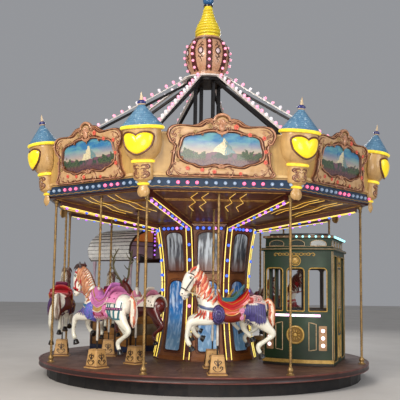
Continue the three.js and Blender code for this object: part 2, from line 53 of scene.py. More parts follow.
def node(tree, kind, inputs=None, **settings):
    """A node with its settings, each input linked to a socket or set to a value."""
    made = tree.nodes.new(kind)
    for key, value in settings.items():
        setattr(made, key, value)
    for key, value in (inputs or {}).items():
        if isinstance(value, bpy.types.Node):
            value = value.outputs[0]
        if isinstance(value, bpy.types.NodeSocket):
            tree.links.new(value, made.inputs[key])
        else:
            made.inputs[key].default_value = value
    return made


def mix(tree, share, first, second):
    """One colour laid over another by a share, a number or a socket."""
    return node(tree, "ShaderNodeMix", {0: share, 6: first, 7: second}, data_type="RGBA").outputs[2]


def work(tree, operation, a, b=0.0, c=0.0):
    """One sum on numbers or sockets."""
    return node(tree, "ShaderNodeMath", {0: a, 1: b, 2: c}, operation=operation).outputs[0]


def parts_of(tree, place):
    """The sockets of a place's x, y and z."""
    return node(tree, "ShaderNodeSeparateXYZ", {0: place}).outputs


def fade(tree, value, low, high, first=0.0, last=1.0):
    """A share that goes from first to last while a value goes from low to high."""
    return node(tree, "ShaderNodeMapRange", {0: value, 1: low, 2: high, 3: first, 4: last})


def noise(tree, place, scale, detail, **more):
    return node(tree, "ShaderNodeTexNoise", {"Vector": place, "Scale": scale, "Detail": detail, **more})


def stretched(tree, place, scale):
    return node(tree, "ShaderNodeMapping", {"Vector": place, "Scale": scale})


def paint(name, colour, shade=None, scale=7.0, rough=0.45, metal=0.0, bump=0.12, grain=90.0, coat=0.0,
          hollow=None, glow=0.0, over=None):
    """A brushed or sprayed finish: two tints mingled in patches, a roughness that follows them, fine
    unevenness, and a darker hollow tint where the relief is low: painted shade in the hollows of the carving
    and on the undersides of rods, partly the brown undercoat showing there."""
    material = bpy.data.materials.new(name)
    material.use_nodes = True
    tree = material.node_tree
    shader = tree.nodes["Principled BSDF"]
    place = node(tree, "ShaderNodeTexCoord").outputs["Object"]
    patches = noise(tree, place, scale, 5.0, Roughness=0.62)
    share = fade(tree, patches, 0.36, 0.66)
    base = ink(colour)
    tint = mix(tree, share, base, ink(shade) if shade else [c * 0.72 for c in base[:3]] + [1.0])
    if over:
        tint = over(tree, place, tint)
    # The hollow tint is painted shade, laid where the relief attribute is low.
    if hollow:
        relief = node(tree, "ShaderNodeAttribute", attribute_name="relief")
        low = fade(tree, relief.outputs["Fac"], 0.25, 0.75, 1.0, 0.0)
        tint = mix(tree, low, tint, ink(hollow))
    tree.links.new(tint, shader.inputs["Base Color"])
    dull = fade(tree, patches, 0.3, 0.7, rough - 0.07, rough + 0.12)
    tree.links.new(dull.outputs[0], shader.inputs["Roughness"])
    fine = noise(tree, place, grain, 3.0)
    raised = node(tree, "ShaderNodeBump", {"Height": fine.outputs[0], "Strength": bump, "Distance": 0.004})
    tree.links.new(raised.outputs[0], shader.inputs["Normal"])
    shader.inputs["Metallic"].default_value = metal
    shader.inputs["Coat Weight"].default_value = coat
    if glow:
        tree.links.new(tint, shader.inputs["Emission Color"])
        shader.inputs["Emission Strength"].default_value = glow
    return material


def wear(cad_node, material):
    """Gives a CAD node its finish."""
    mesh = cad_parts[cad_node].data
    mesh.materials.clear()
    mesh.materials.append(material)


dark_steel = paint("dark_steel", "1c1b1d", "2e2a28", scale=9, rough=0.5, metal=0.55, grain=140)
wear("base_frame", dark_steel)

# Turning platform: a steel-edged disc with worn brown boards screwed down in wedges, turning on a
# slewing ring under its hub. The boards are scuffed where riders walk between the rows.
DECK = 0.3
SIDE = pi / 4
CORNER = SIDE / 2
DISC_R = 2.969
BOARD_WEDGES, BOARD_FOOT, BOARD_GAP = 24, 0.29, 0.0035


class Form:
    """The surfaces of one piece, gathered one by one. Every vertex keeps its relief, 0 in the hollows
    and 1 on the crests, and the place it had before its surface was set in the piece."""

    def __init__(self):
        self.points, self.faces, self.finishes, self.relief, self.drawn = [], [], [], [], []
        self.count = 0

    def add(self, body, finish=0, place=None, relief=None):
        points, faces, own = body
        points = np.asarray(points, float)
        self.drawn.append(points)
        if place is not None:
            turn = np.array(place)
            points = points @ turn[:3, :3].T + turn[:3, 3]
        self.points.append(points)
        self.faces += [[i + self.count for i in face] for face in faces]
        self.finishes += list(finish) if isinstance(finish, (list, tuple)) else [finish] * len(faces)
        self.relief.append(np.broadcast_to(own if relief is None else relief, len(points)))
        self.count += len(points)
        return self

    def piece(self, name, finishes, place=None, crease=35, drawn=False):
        mesh = bpy.data.meshes.new(name)
        mesh.from_pydata(np.concatenate(self.points).tolist(), [], self.faces)
        if drawn:
            mesh.attributes.new("drawn", "FLOAT_VECTOR", "POINT").data.foreach_set(
                "vector", np.concatenate(self.drawn).astype(np.float32).ravel())
        mesh.attributes.new("relief", "FLOAT", "POINT").data.foreach_set(
            "value", np.concatenate(self.relief).astype(np.float32))
        mesh.polygons.foreach_set("material_index", self.finishes)
        for finish in finishes if isinstance(finishes, (list, tuple)) else [finishes]:
            mesh.materials.append(finish)
        if place is not None:
            mesh.transform(place)
        return settle(name, mesh, crease)


def set_out(name, data):
    """An object at the origin that holds a mesh, a lamp or a camera."""
    made = bpy.data.objects.new(name, data)
    bpy.context.scene.collection.objects.link(made)
    return made


def final_mesh(holder):
    """The mesh of an object with its modifiers worked in."""
    depsgraph = bpy.context.evaluated_depsgraph_get()
    return bpy.data.meshes.new_from_object(holder.evaluated_get(depsgraph), depsgraph=depsgraph)


def settle(name, mesh, crease=35):
    """Turns a mesh's faces outwards, smooths it up to an angle and makes its object."""
    shell = bmesh.new()
    shell.from_mesh(mesh)
    bmesh.ops.recalc_face_normals(shell, faces=shell.faces)
    shell.to_mesh(mesh)
    shell.free()
    mesh.shade_smooth()
    mesh.set_sharp_from_angle(angle=radians(crease))
    return set_out(name, mesh)


def lathe(profile, steps, oval=1.0, start=0.0, relief=None):
    """A body turned about the upright axis. Its profile of (radius, height) ends on the axis or closes."""
    on_axis = profile[0][0] == 0
    rings = profile[1:-1] if on_axis else profile
    angles = start + np.arange(steps) * 2 * pi / steps
    points = [[r * cos(a), oval * r * sin(a), z] for r, z in rings for a in angles]
    faces = []
    spans = len(rings) - 1 if on_axis else len(rings)
    for s in range(spans):
        for i in range(steps):
            j = (i + 1) % steps
            t = (s + 1) % len(rings)
            faces.append([s * steps + i, s * steps + j, t * steps + j, t * steps + i])
    own = np.ones(len(profile)) if relief is None else np.asarray(relief, float)
    own = np.repeat(own[1:-1] if on_axis else own, steps)
    if on_axis:
        points += [[0, 0, profile[0][1]], [0, 0, profile[-1][1]]]
        own = np.append(own, [own[0], own[-1]])
        foot, head = len(points) - 2, len(points) - 1
        last = (len(rings) - 1) * steps
        for i in range(steps):
            j = (i + 1) % steps
            faces += [[foot, j, i], [head, last + i, last + j]]
    return points, faces, own


def loft(rings, closed=False, relief=None):
    """A body through rings of equal count, capped at both ends unless it closes on itself."""
    rings = [np.asarray(ring, float) for ring in rings]
    across = len(rings[0])
    faces = []
    for s in range(len(rings) if closed else len(rings) - 1):
        t = (s + 1) % len(rings)
        for i in range(across):
            j = (i + 1) % across
            faces.append([s * across + i, s * across + j, t * across + j, t * across + i])
    if not closed:
        last = (len(rings) - 1) * across
        faces += [list(range(across))[::-1], [last + i for i in range(across)]]
    own = np.ones(across * len(rings)) if relief is None else relief
    return np.concatenate(rings), faces, own


def box(low, high):
    (x1, y1, z1), (x2, y2, z2) = low, high
    return loft([[(x, y1, z1), (x, y2, z1), (x, y2, z2), (x, y1, z2)] for x in (x1, x2)])


def upright(angle):
    return Matrix.Rotation(angle, 4, "Z")


def tipped(angle, axis="X"):
    return Matrix.Rotation(angle, 4, axis)


def moved_by(x, y, z):
    return Matrix.Translation((x, y, z))


def to_side(k):
    return upright(k * SIDE)


def to_corner(k):
    return upright((k + 0.5) * SIDE)


def round_angles(count):
    return np.linspace(0, 2 * pi, count, endpoint=False)


def tree_with(name, sockets):
    """A new Geometry Nodes tree with named inputs, its input and output nodes."""
    tree = bpy.data.node_groups.new(name, "GeometryNodeTree")
    tree.interface.new_socket(name="Geometry", in_out="INPUT", socket_type="NodeSocketGeometry")
    for label, kind in sockets:
        tree.interface.new_socket(name=label, in_out="INPUT", socket_type="NodeSocket" + kind)
    tree.interface.new_socket(name="Geometry", in_out="OUTPUT", socket_type="NodeSocketGeometry")
    return tree, tree.nodes.new("NodeGroupInput").outputs, tree.nodes.new("NodeGroupOutput").inputs


def grown(name, tree, host, values, crease=35):
    """Runs a tree on a host mesh with the given inputs and keeps the result as one plain piece."""
    carrier = set_out("carrier", host)
    modifier = carrier.modifiers.new("grow", "NODES")
    modifier.node_group = tree
    sockets = {s.name: s.identifier for s in tree.interface.items_tree if s.in_out == "INPUT"}
    for label, value in values.items():
        modifier[sockets[label]] = value
    mesh = final_mesh(carrier)
    mesh.name = name
    bpy.data.objects.remove(carrier)
    for label in ("turn", "grow", "lit"):
        if label in mesh.attributes:
            mesh.attributes.remove(mesh.attributes[label])
    return settle(name, mesh, crease)


# Lays one shape on every point of a layout, turned and sized by the point and a little uneven.
layout_tree, given, result = tree_with("lay_out", [
    ("Shape", "Object"), ("Size", "Float"), ("Unevenness", "Float"), ("Seed", "Int"),
    ("Finish", "Material"), ("Lit finish", "Material")])
shape_info = node(layout_tree, "GeometryNodeObjectInfo", {0: given["Shape"]})
turn = node(layout_tree, "GeometryNodeInputNamedAttribute", {"Name": "turn"}, data_type="FLOAT_VECTOR")
grow = node(layout_tree, "GeometryNodeInputNamedAttribute", {"Name": "grow"}, data_type="FLOAT_VECTOR")
lit = node(layout_tree, "GeometryNodeInputNamedAttribute", {"Name": "lit"}, data_type="BOOLEAN")
spin = node(layout_tree, "FunctionNodeEulerToRotation", {0: turn})
least = work(layout_tree, "SUBTRACT", 1.0, given["Unevenness"])
most = work(layout_tree, "ADD", 1.0, given["Unevenness"])
uneven = node(layout_tree, "FunctionNodeRandomValue", {2: least, 3: most, "Seed": given["Seed"]},
              data_type="FLOAT")
sized = work(layout_tree, "MULTIPLY", given["Size"], uneven.outputs[1])
stretch = node(layout_tree, "ShaderNodeVectorMath", {0: grow, "Scale": sized}, operation="SCALE")
laid = node(layout_tree, "GeometryNodeInstanceOnPoints", {
    "Points": given["Geometry"], "Instance": shape_info.outputs["Geometry"], "Rotation": spin,
    "Scale": stretch})
real = node(layout_tree, "GeometryNodeRealizeInstances", {0: laid})
coated = node(layout_tree, "GeometryNodeSetMaterial", {"Geometry": real, "Material": given["Finish"]})
glowing = node(layout_tree, "GeometryNodeSetMaterial", {
    "Geometry": coated, "Selection": lit, "Material": given["Lit finish"]})
layout_tree.links.new(glowing.outputs[0], result["Geometry"])


def lay_out(name, shape, places, finish, lit_finish=None, lit=(), size=1.0, unevenness=0.0, seed=1):
    """One piece of a shape repeated at places, with the second finish where lit is true."""
    host = bpy.data.meshes.new("layout")
    host.from_pydata([p.to_translation() for p in places], [], [])
    flags = [bool(f) for f in lit] or [False] * len(places)
    host.attributes.new("turn", "FLOAT_VECTOR", "POINT").data.foreach_set(
        "vector", [v for p in places for v in p.to_euler()])
    host.attributes.new("grow", "FLOAT_VECTOR", "POINT").data.foreach_set(
        "vector", [v for p in places for v in p.to_scale()])
    host.attributes.new("lit", "BOOLEAN", "POINT").data.foreach_set("value", flags)
    pattern = shape.piece("pattern_shape", finish)
    made = grown(name, layout_tree, host, {
        "Shape": pattern, "Size": size, "Unevenness": unevenness, "Seed": seed, "Finish": finish,
        "Lit finish": lit_finish or finish})
    bpy.data.objects.remove(pattern)
    return made


def wedge(inner, outer, low, high, half, steps=3):
    """A board between two radii and two heights, its half angle given, with softened upper edges."""
    rings = []
    ease = 0.002
    for angle in np.linspace(-half, half, steps):
        out = np.array([sin(angle), -cos(angle)])
        rings.append([(*(out * r), z) for r, z in (
            (inner, low), (outer, low), (outer, high - ease), (outer - ease, high), (inner + ease, high),
            (inner, high - ease))])
    return loft(rings)


def board_seams(tree, place, tint):
    """Grain along each wedge, and a tone of its own for every board."""
    around = node(tree, "ShaderNodeTexGradient", {"Vector": place}, gradient_type="RADIAL")
    away = node(tree, "ShaderNodeVectorMath", {0: place}, operation="LENGTH")
    wound = node(tree, "ShaderNodeCombineXYZ", {0: around.outputs[1], 1: away.outputs[1]})
    grained = stretched(tree, wound, (420, 3.2, 1))
    streaks = noise(tree, grained, 1.0, 4.0)
    dark = fade(tree, streaks, 0.42, 0.7, 0.0, 0.55)
    lined = mix(tree, dark, tint, ink("2b1a17"))
    whole = work(tree, "FLOOR", work(tree, "MULTIPLY", around.outputs[1], float(BOARD_WEDGES)))
    tone = node(tree, "ShaderNodeTexWhiteNoise", {"W": whole}, noise_dimensions="1D")
    paler = work(tree, "MULTIPLY", tone, 0.3)
    return mix(tree, paler, lined, ink("6f4a3c"))


deck_wood = paint("deck_wood", "6e4b3a", "523528", scale=3.5, rough=0.58, bump=0.25, grain=60, coat=0.04,
                  over=board_seams)
disc = Form()
disc.add(lathe([
    (0, 0.1953), (0.48, 0.1953), (0.48, 0.24), (DISC_R, 0.24), (DISC_R, 0.2955), (0, 0.2955)], 96))
for inner, outer, shift in ((0.9, 1.62, 0.0), (1.623, 2.3, 0.5), (2.303, 2.966, 0.0)):
    for k in range(BOARD_WEDGES):
        half = pi / BOARD_WEDGES - BOARD_GAP / outer
        disc.add(wedge(inner, outer, BOARD_FOOT, DECK, half, 4),
                 place=upright((k + shift) * 2 * pi / BOARD_WEDGES))
platform = disc.piece("platform_boards", deck_wood, crease=25)
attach(platform, "turntable")
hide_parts("deck")

# Platform rim: a rolled steel band round the boards' edge, sprayed red-brown, with a half-round bead
# at its top and foot, scuffed where feet and trolleys have met it.
rim_paint = paint("rim_paint", "6e3326", "4a211a", scale=5, rough=0.4, bump=0.2, hollow="2a120e")
rim = Form()
rim.add(lathe([
    (2.9703, 0.2), (2.994, 0.2), (2.9985, 0.206), (2.9985, 0.214), (2.993, 0.22), (2.991, 0.272),
    (2.9985, 0.28), (3.0, 0.29), (2.9975, 0.298), (2.9925, 0.3), (2.9703, 0.3)], 144,
    relief=[0.5, 1, 1, 1, 0.2, 0.2, 1, 1, 1, 1, 0.5]))
rim = rim.piece("platform_rim", rim_paint, crease=50)
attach(rim, "turntable")
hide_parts("deck_rim")

# Pedestals: hollow tapered boxes of moulded glass fibre, painted tan, one under each animal. Its rod
# slides in the bore; a painted scroll stands on every face. They are bolted to the boards.
ANIMAL_SIDES = (0, 3, 4, 6, 7)
OUTER_ROW, INNER_ROW = 2.62, 1.77
PEDESTAL_TOP = 0.293
stalls = [(side, row) for side in ANIMAL_SIDES for row in (OUTER_ROW, INNER_ROW)]


def stall_place(side, row):
    return upright(side * SIDE) @ moved_by(0, -row, 0)


def rounded_square(half, z, bend=0.16, steps=4):
    """A square ring with soft corners at a height, from its own near right corner round."""
    soft = half * bend
    ring = []
    for k in range(4):
        for a in np.linspace(0, pi / 2, steps):
            angle = k * pi / 2 + a
            cx, cy = ((1, 1), (-1, 1), (-1, -1), (1, -1))[k]
            ring.append((cx * (half - soft) + soft * cos(angle), cy * (half - soft) + soft * sin(angle), z))
    return ring


def flow(points, count, closed=False):
    """A smooth run through points of any number of columns."""
    given_points = np.asarray(points, float)
    total = len(given_points)
    spans = total if closed else total - 1
    at = np.linspace(0, spans, count, endpoint=not closed)
    k = np.minimum(at.astype(int), spans - 1)
    t = (at - k)[:, None]

    def pick(i):
        return given_points[i % total] if closed else given_points[np.clip(i, 0, total - 1)]

    a, b, c, d = pick(k - 1), pick(k), pick(k + 1), pick(k + 2)
    return 0.5 * (2 * b + (c - a) * t + (2 * a - 5 * b + 4 * c - d) * t**2 + (3 * b - 3 * c + d - a) * t**3)


FRONT = (0, -1, 0)


def sweep(path, wide, high, up, sides=8, closed=False):
    """A rod along a path, its half width across and half height towards up given for every point."""
    path = np.asarray(path, float)
    along = np.roll(path, -1, 0) - np.roll(path, 1, 0) if closed else np.gradient(path, axis=0)
    along /= np.maximum(np.linalg.norm(along, axis=1, keepdims=True), 1e-9)
    across = np.cross(along, np.broadcast_to(up, path.shape))
    across /= np.maximum(np.linalg.norm(across, axis=1, keepdims=True), 1e-9)
    above = np.cross(across, along)
    wide, high = (np.broadcast_to(v, len(path))[:, None] for v in (wide, high))
    angles = (np.arange(sides) + 0.5) * 2 * pi / sides
    rings = [path[i] + across[i] * wide[i] * np.cos(angles)[:, None]
             + above[i] * high[i] * np.sin(angles)[:, None] for i in range(len(path))]
    # Relief is 1 on the side towards up and 0 on the side away from it, where a hollow tint paints shade.
    own = np.tile(0.5 + 0.5 * np.sin(angles), len(path))
    return loft(rings, closed, own)


def volute(x, z, radius, start, turns, hand=1, count=18, tail=None, fine=30):
    """The middle line of a scroll that winds in on (x, z), after the points of its tail."""
    t = np.linspace(0, 1, count)
    angle = start + hand * t * turns * 2 * pi
    away = radius * (1 - t) ** 1.15 + radius * 0.16
    coil = np.column_stack([x + away * np.cos(angle), z + away * np.sin(angle)])
    if tail is None:
        return coil
    return flow(np.vstack([tail, coil[::3]]), fine)


def taper(count, most, foot=0.35, tip=0.55):
    """Thin at the start, full in the middle, rounded off at the coil."""
    t = np.linspace(0, 1, count)
    return most * (foot + (1 - foot) * np.sin(np.minimum(t * 1.7, 1) * pi / 2)) * (1 - (1 - tip) * t**3)


def flat(line, out):
    """A line of (across, up) points, standing out from a face."""
    line = np.asarray(line, float)
    return np.column_stack([line[:, 0], np.full(len(line), -out), line[:, 1]])


def scroll_leaf(tail, x, z, radius, start, turns, hand, thick, out, lift=0.7, sides=5, fine=18):
    """A carved scroll lying on a face: x across, z up, out from the face."""
    line = volute(x, z, radius, start, turns, hand, tail=np.asarray(tail, float), fine=fine)
    wide = taper(len(line), thick)
    return sweep(flat(line, out), wide, wide * lift, FRONT, sides)


pedestal_paint = paint("pedestal_paint", "cfa164", "b1864a", scale=9, rough=0.5, bump=0.18, hollow="6b4426")
scroll_paint = paint("scroll_paint", "35190d", "1c0e08", scale=20, rough=0.5)
socket_metal = paint("socket_metal", "3a3532", "241f1c", rough=0.35, metal=0.9)
pedestals = Form()
RING = 16
for side, row in stalls:
    place = upright(side * SIDE) @ moved_by(0, -row, DECK)
    body = [rounded_square(h, z) for h, z in (
        (0.150, 0.0), (0.150, 0.012), (0.146, 0.016), (0.128, 0.024), (0.123, 0.05), (0.110, 0.16),
        (0.098, 0.27),
        (0.098, 0.283), (0.0945, 0.2905), (0.088, PEDESTAL_TOP), (0.026, PEDESTAL_TOP), (0.018, 0.29))]
    bore = [[(0.0128 * cos(a), 0.0128 * sin(a), z) for a in (np.arange(RING) + 0.5) * pi * 2 / RING]
            for z in (0.288, 0.02)]
    pedestals.add(loft(body + bore), place=place, relief=np.repeat(
        [1, 1, 0.6, 0.15, 0.8, 1, 0.9, 0.3, 1, 1, 0.5, 0.4, 0.3, 0.3], RING))
    for face in range(4):
        slope = atan2(0.027, 0.22)
        seat = place @ upright(face * pi / 2) @ moved_by(0, -0.1285, 0.04) @ tipped(-slope)
        for hand in (-1, 1):
            for tail, x, z, radius, turns, thick in (
                    ([(0, 0.012), (hand * 0.04, 0.022)], 0.046, 0.068, 0.03, 1.1, 0.0095),
                    ([(0, 0.095), (hand * 0.026, 0.115)], 0.03, 0.155, 0.026, 1.0, 0.0085)):
                pedestals.add(scroll_leaf(tail, hand * x, z, radius, -pi / 2, turns, hand, thick, 0.0, 0.7,
                                          4, 15), 1, seat)
        pedestals.add(sweep([(0, 0, 0.07), (0, -0.001, 0.12), (0, 0, 0.2)], [0.006, 0.016, 0.004],
                            [0.004, 0.007, 0.003], FRONT, 6), 1, seat)
        for x in (-0.137, 0.137):
            pedestals.add(lathe([(0, 0.018), (0.008, 0.018), (0.008, 0.023), (0.004, 0.026), (0, 0.026)],
                                6), 2, place @ upright(face * pi / 2) @ moved_by(x, -0.137, 0))
pedestals = pedestals.piece("pedestals", [pedestal_paint, scroll_paint, socket_metal])
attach(pedestals, "turntable")

# Corner pillars: brass tube drawn into a twist over a steel core, screwed through a turned cup at
# its foot and a collar under the canopy's corner. The brass has dulled to a warm tan.
PILLAR_CIRCLE = 2.888
CEILING_IN_R, CEILING_OUT_R = 0.97, 2.8 / cos(CORNER)
CEILING_SLOPE = 0.362 / (CEILING_OUT_R - CEILING_IN_R)


def ceiling_height(corner_radius):
    """Height of the ceiling's underside above the ground, at a radius along its corner lines."""
    return DECK + 2.4 + (corner_radius - CEILING_IN_R) * CEILING_SLOPE


def dents(tree, place, tint):
    """Dark lines of tarnish that wind round the twist."""
    worn = noise(tree, place, 38.0, 3.0)
    share = fade(tree, worn, 0.5, 0.72, 0.0, 0.6)
    return mix(tree, share, tint, ink("4a3016"))


brass = paint("twisted_brass", "a88650", "7c6036", scale=12, rough=0.38, metal=0.45, bump=0.1, over=dents)
twist_tree, given, result = tree_with("twisted_bar", [
    ("Low", "Float"), ("High", "Float"), ("Radius", "Float"), ("Groove", "Float"), ("Lobes", "Float"),
    ("Pitch", "Float"), ("Step", "Float"), ("Finish", "Material")])
foot_point = node(twist_tree, "ShaderNodeCombineXYZ", {2: given["Low"]})
head_point = node(twist_tree, "ShaderNodeCombineXYZ", {2: given["High"]})
line = node(twist_tree, "GeometryNodeCurvePrimitiveLine", {"Start": foot_point, "End": head_point})
stepped = node(twist_tree, "GeometryNodeResampleCurve", {"Curve": line})
stepped.mode = "LENGTH"
twist_tree.links.new(given["Step"], stepped.inputs["Length"])
here = node(twist_tree, "GeometryNodeInputPosition")
spot = parts_of(twist_tree, here)
angle = work(twist_tree, "MULTIPLY", work(twist_tree, "DIVIDE", spot[2], given["Pitch"]), 2 * pi)
tilted = node(twist_tree, "GeometryNodeSetCurveTilt", {"Curve": stepped, "Tilt": angle})
ring = node(twist_tree, "GeometryNodeCurvePrimitiveCircle", {"Resolution": 12, "Radius": given["Radius"]})
lobed = work(twist_tree, "MULTIPLY", work(twist_tree, "ARCTAN2", spot[1], spot[0]), given["Lobes"])
depth = work(twist_tree, "MULTIPLY_ADD", work(twist_tree, "COSINE", lobed), given["Groove"], 1.0)
section = node(twist_tree, "ShaderNodeVectorMath", {0: here, "Scale": depth}, operation="SCALE")
grooved = node(twist_tree, "GeometryNodeSetPosition", {"Geometry": ring, "Position": section})
barred = node(twist_tree, "GeometryNodeCurveToMesh", {
    "Curve": tilted, "Profile Curve": grooved, "Fill Caps": True})
whole = node(twist_tree, "GeometryNodeRealizeInstances", {0: barred})
coated = node(twist_tree, "GeometryNodeSetMaterial", {"Geometry": whole, "Material": given["Finish"]})
twist_tree.links.new(coated.outputs[0], result["Geometry"])


def twisted_bar(name, low, high, radius, place, groove=0.12, lobes=3.0, pitch=0.13, step=0.019):
    made = grown(name, twist_tree, bpy.data.meshes.new("bar"), {
        "Low": low, "High": high, "Radius": radius, "Groove": groove, "Lobes": lobes, "Pitch": pitch,
        "Step": step, "Finish": brass}, crease=60)
    made.data.transform(place)
    return made


def joined(name, pieces):
    """Several finished parts as one piece, with their finishes kept."""
    whole_mesh = bmesh.new()
    finishes = []
    for part in pieces:
        first = len(whole_mesh.faces)
        whole_mesh.from_mesh(part.data)
        whole_mesh.faces.ensure_lookup_table()
        for face in whole_mesh.faces[first:]:
            finish = part.data.materials[face.material_index]
            if finish not in finishes:
                finishes.append(finish)
            face.material_index = finishes.index(finish)
    mesh = bpy.data.meshes.new(name)
    whole_mesh.to_mesh(mesh)
    whole_mesh.free()
    for finish in finishes:
        mesh.materials.append(finish)
    for part in pieces:
        bpy.data.objects.remove(part)
    return set_out(name, mesh)


CAP_Z = ceiling_height(PILLAR_CIRCLE - 0.04) - 0.0003
for k in range(8):
    place = to_corner(k) @ moved_by(0, -PILLAR_CIRCLE, 0)
    fittings = Form()
    fittings.add(lathe([(r, DECK + z) for r, z in (
        (0, 0.0003), (0.062, 0.0003), (0.062, 0.010), (0.056, 0.016), (0.04, 0.02), (0.034, 0.04),
        (0.044, 0.06), (0.046, 0.075), (0.038, 0.095), (0.026, 0.118), (0.02, 0.12), (0, 0.12))], 20,
        relief=[1, 1, 1, 0.4, 0.2, 0.6, 1, 1, 0.7, 0.4, 0.4, 1]))
    fittings.add(lathe([(r, CAP_Z - z) for r, z in (
        (0, 0.1), (0.02, 0.1), (0.027, 0.092), (0.03, 0.07), (0.024, 0.055), (0.036, 0.03), (0.04, 0.015),
        (0.04, 0), (0, 0))], 16))
    bar = twisted_bar("bar", DECK + 0.115, CAP_Z - 0.09, 0.0215, place)
    pillar = joined(f"corner_pillar_{k + 1}", [bar, fittings.piece("fittings", brass, place, 40)])
    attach(pillar, "turntable")
    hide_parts(f"pillar_{k + 1}")

# Column casing: moulded glass-fibre panels round the drive, wide at the foot, drawn in at the waist
# and flaring to the ceiling. Each face has two framed pictures, each corner a maroon strip with two
# yellow light tubes and a row of blue and pink bulbs, all clipped on from outside.
COLUMN_FOOT_R, COLUMN_WAIST_R, COLUMN_TOP_R, WAIST_Z = 0.98, 0.83, 0.97, 1.2
CASING_RIM, CASING_HEAD = 2.4, 2.6194
CASING, PICTURE_FRAME, SILVER, BLUE, STRIP = range(5)
casing_paint = paint("casing_paint", "9a5d2a", "75401d", scale=3, rough=0.42, bump=0.14, coat=0.15,
                     hollow="37180d")
maroon = paint("maroon_gloss", "5a1d12", "40110b", scale=6, rough=0.5, bump=0.08, coat=0.05)
frame_brown = paint("frame_brown", "5a2a1b", "3d1a12", scale=14, rough=0.4, bump=0.15, hollow="240d09")
yellow_tube = paint("yellow_tube", "f0d04e", "f7e486", scale=4, rough=0.3, glow=1.2)
bulb_blue = paint("bulb_blue", "2b4cd6", "5f86f2", scale=40, rough=0.15, glow=1.1)
bulb_pink = paint("bulb_pink", "d86fd0", "f5b0ec", scale=40, rough=0.15, glow=1.2)


def column_radius(z):
    lift = (z - WAIST_Z) / WAIST_Z
    return COLUMN_WAIST_R + ((COLUMN_FOOT_R if lift < 0 else COLUMN_TOP_R) - COLUMN_WAIST_R) * lift * lift


def on_column(u, z, out=0.0):
    """A point of a column face: across it, above the deck and out from it."""
    return (u, -(column_radius(min(z, CASING_RIM)) * cos(CORNER) + out), DECK + z)


shell = Form()
rows = [0.0003, *np.linspace(0.1, CASING_RIM, 24), CASING_HEAD]
shell.add(loft([[
    (column_radius(min(z, CASING_RIM)) * sin((k + 0.5) * SIDE),
     -column_radius(min(z, CASING_RIM)) * cos((k + 0.5) * SIDE), DECK + z) for k in range(8)]
         for z in rows]))


def arched_rows(low, high, half, arch, steps=20, foot=0.05):
    """Half widths at heights of a picture with an arched head and rounded lower corners."""
    rows = []
    for z in low + (high - low) * (0.5 - 0.5 * np.cos(np.linspace(0, pi, steps))):
        width = half
        if z > high - arch:
            width = half * sqrt(max(1 - ((z - high + arch) / arch) ** 2, 0.0)) ** 0.8
        if z < low + foot:
            width = half - foot + sqrt(max(foot**2 - (low + foot - z) ** 2, 0.0))
        rows.append((z, max(width, 0.012)))
    return rows


def casing_panel(form, low, high, half, arch, finish, turn):
    """A framed picture on a column face, with a thin bead round its frame."""
    rows = arched_rows(low, high, half, arch)
    form.add(loft([[on_column(-w, z, 0.006), on_column(w, z, 0.006), on_column(w, z, -0.004),
                    on_column(-w, z, -0.004)] for z, w in rows]), finish, turn)
    edge = [on_column(w, z, 0.006) for z, w in rows] + [on_column(-w, z, 0.006) for z, w in rows[::-1]]
    form.add(sweep(edge, 0.013, 0.016, FRONT, 8, True), PICTURE_FRAME, turn)
    wider = [(z + (0.03 if i > len(rows) / 2 else -0.03), w + 0.03) for i, (z, w) in enumerate(rows)]
    edge = [on_column(w, z, 0.0) for z, w in wider] + [on_column(-w, z, 0.0) for z, w in wider[::-1]]
    form.add(sweep(edge, 0.006, 0.007, FRONT, 6, True), PICTURE_FRAME, turn)


def woodland(tree, place, tint):
    """A silvered picture: pale upright trunks and mist over a darker ground."""
    spread = stretched(tree, place, (16, 16, 1.3))
    trunks = noise(tree, spread, 1.0, 3.0)
    share = fade(tree, trunks, 0.45, 0.6, 0.0, 0.85)
    hazy = mix(tree, share, tint, ink("cdd6dd"))
    z = parts_of(tree, place)[2]
    ground = fade(tree, z, DECK + 1.84, DECK + 1.6, 0.0, 0.8)
    return mix(tree, ground, hazy, ink("6e3a20"))


def waterfall(tree, place, tint):
    """A blue picture: falling water in pale streaks, paler towards its foot in a painted highlight."""
    spread = stretched(tree, place, (9, 9, 2.2))
    falls = noise(tree, spread, 1.6, 6.0, Distortion=1.2)
    share = fade(tree, falls, 0.47, 0.66, 0.0, 0.9)
    foamed = mix(tree, share, tint, ink("c9dcf2"))
    z = parts_of(tree, place)[2]
    # Paler towards the foot: a painted highlight.
    ground = fade(tree, z, DECK + 0.9, DECK + 0.3, 0.0, 0.6)
    return mix(tree, ground, foamed, ink("7fa9bf"))


# Both pictures glow faintly: painted light, for they hold no lamps.
silver_picture = paint("silver_picture", "5c6068", "3a3c42", scale=6, rough=0.3, metal=0.1, coat=0.3,
                       glow=0.2, over=woodland)
blue_picture = paint("blue_picture", "2778c0", "174f94", scale=4, rough=0.3, coat=0.3, glow=0.15,
                     over=waterfall)
for k in range(8):
    turn = to_side(k)
    casing_panel(shell, 1.56, 2.26, 0.2, 0.09, SILVER, turn)
    casing_panel(shell, 0.16, 1.4, 0.18, 0.15, BLUE, turn)
    for widest, z, wide, thick, finish in ((CASING_RIM, 2.325, 0.05, 0.008, STRIP), (0.05, 0.045, 0.045,
                                                                                     0.014, CASING)):
        half = column_radius(widest) * sin(CORNER)
        shell.add(sweep([on_column(u, z, 0.004) for u in np.linspace(-half, half, 3)], wide, thick,
                        FRONT, 4), finish, turn)
    corner = to_corner(k)
    strip_rows = [(z, column_radius(z) + 0.004) for z in np.linspace(0.004, 2.38, 24)]
    shell.add(loft([[(-0.066, -r, DECK + z), (0.066, -r, DECK + z), (0.08, -r + 0.045, DECK + z),
                     (-0.08, -r + 0.045, DECK + z)] for z, r in strip_rows]), STRIP, corner)
casing = shell.piece("column_casing_dressed", [casing_paint, frame_brown, silver_picture, blue_picture,
                                               maroon])
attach(casing, "turntable")
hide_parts("column_casing")

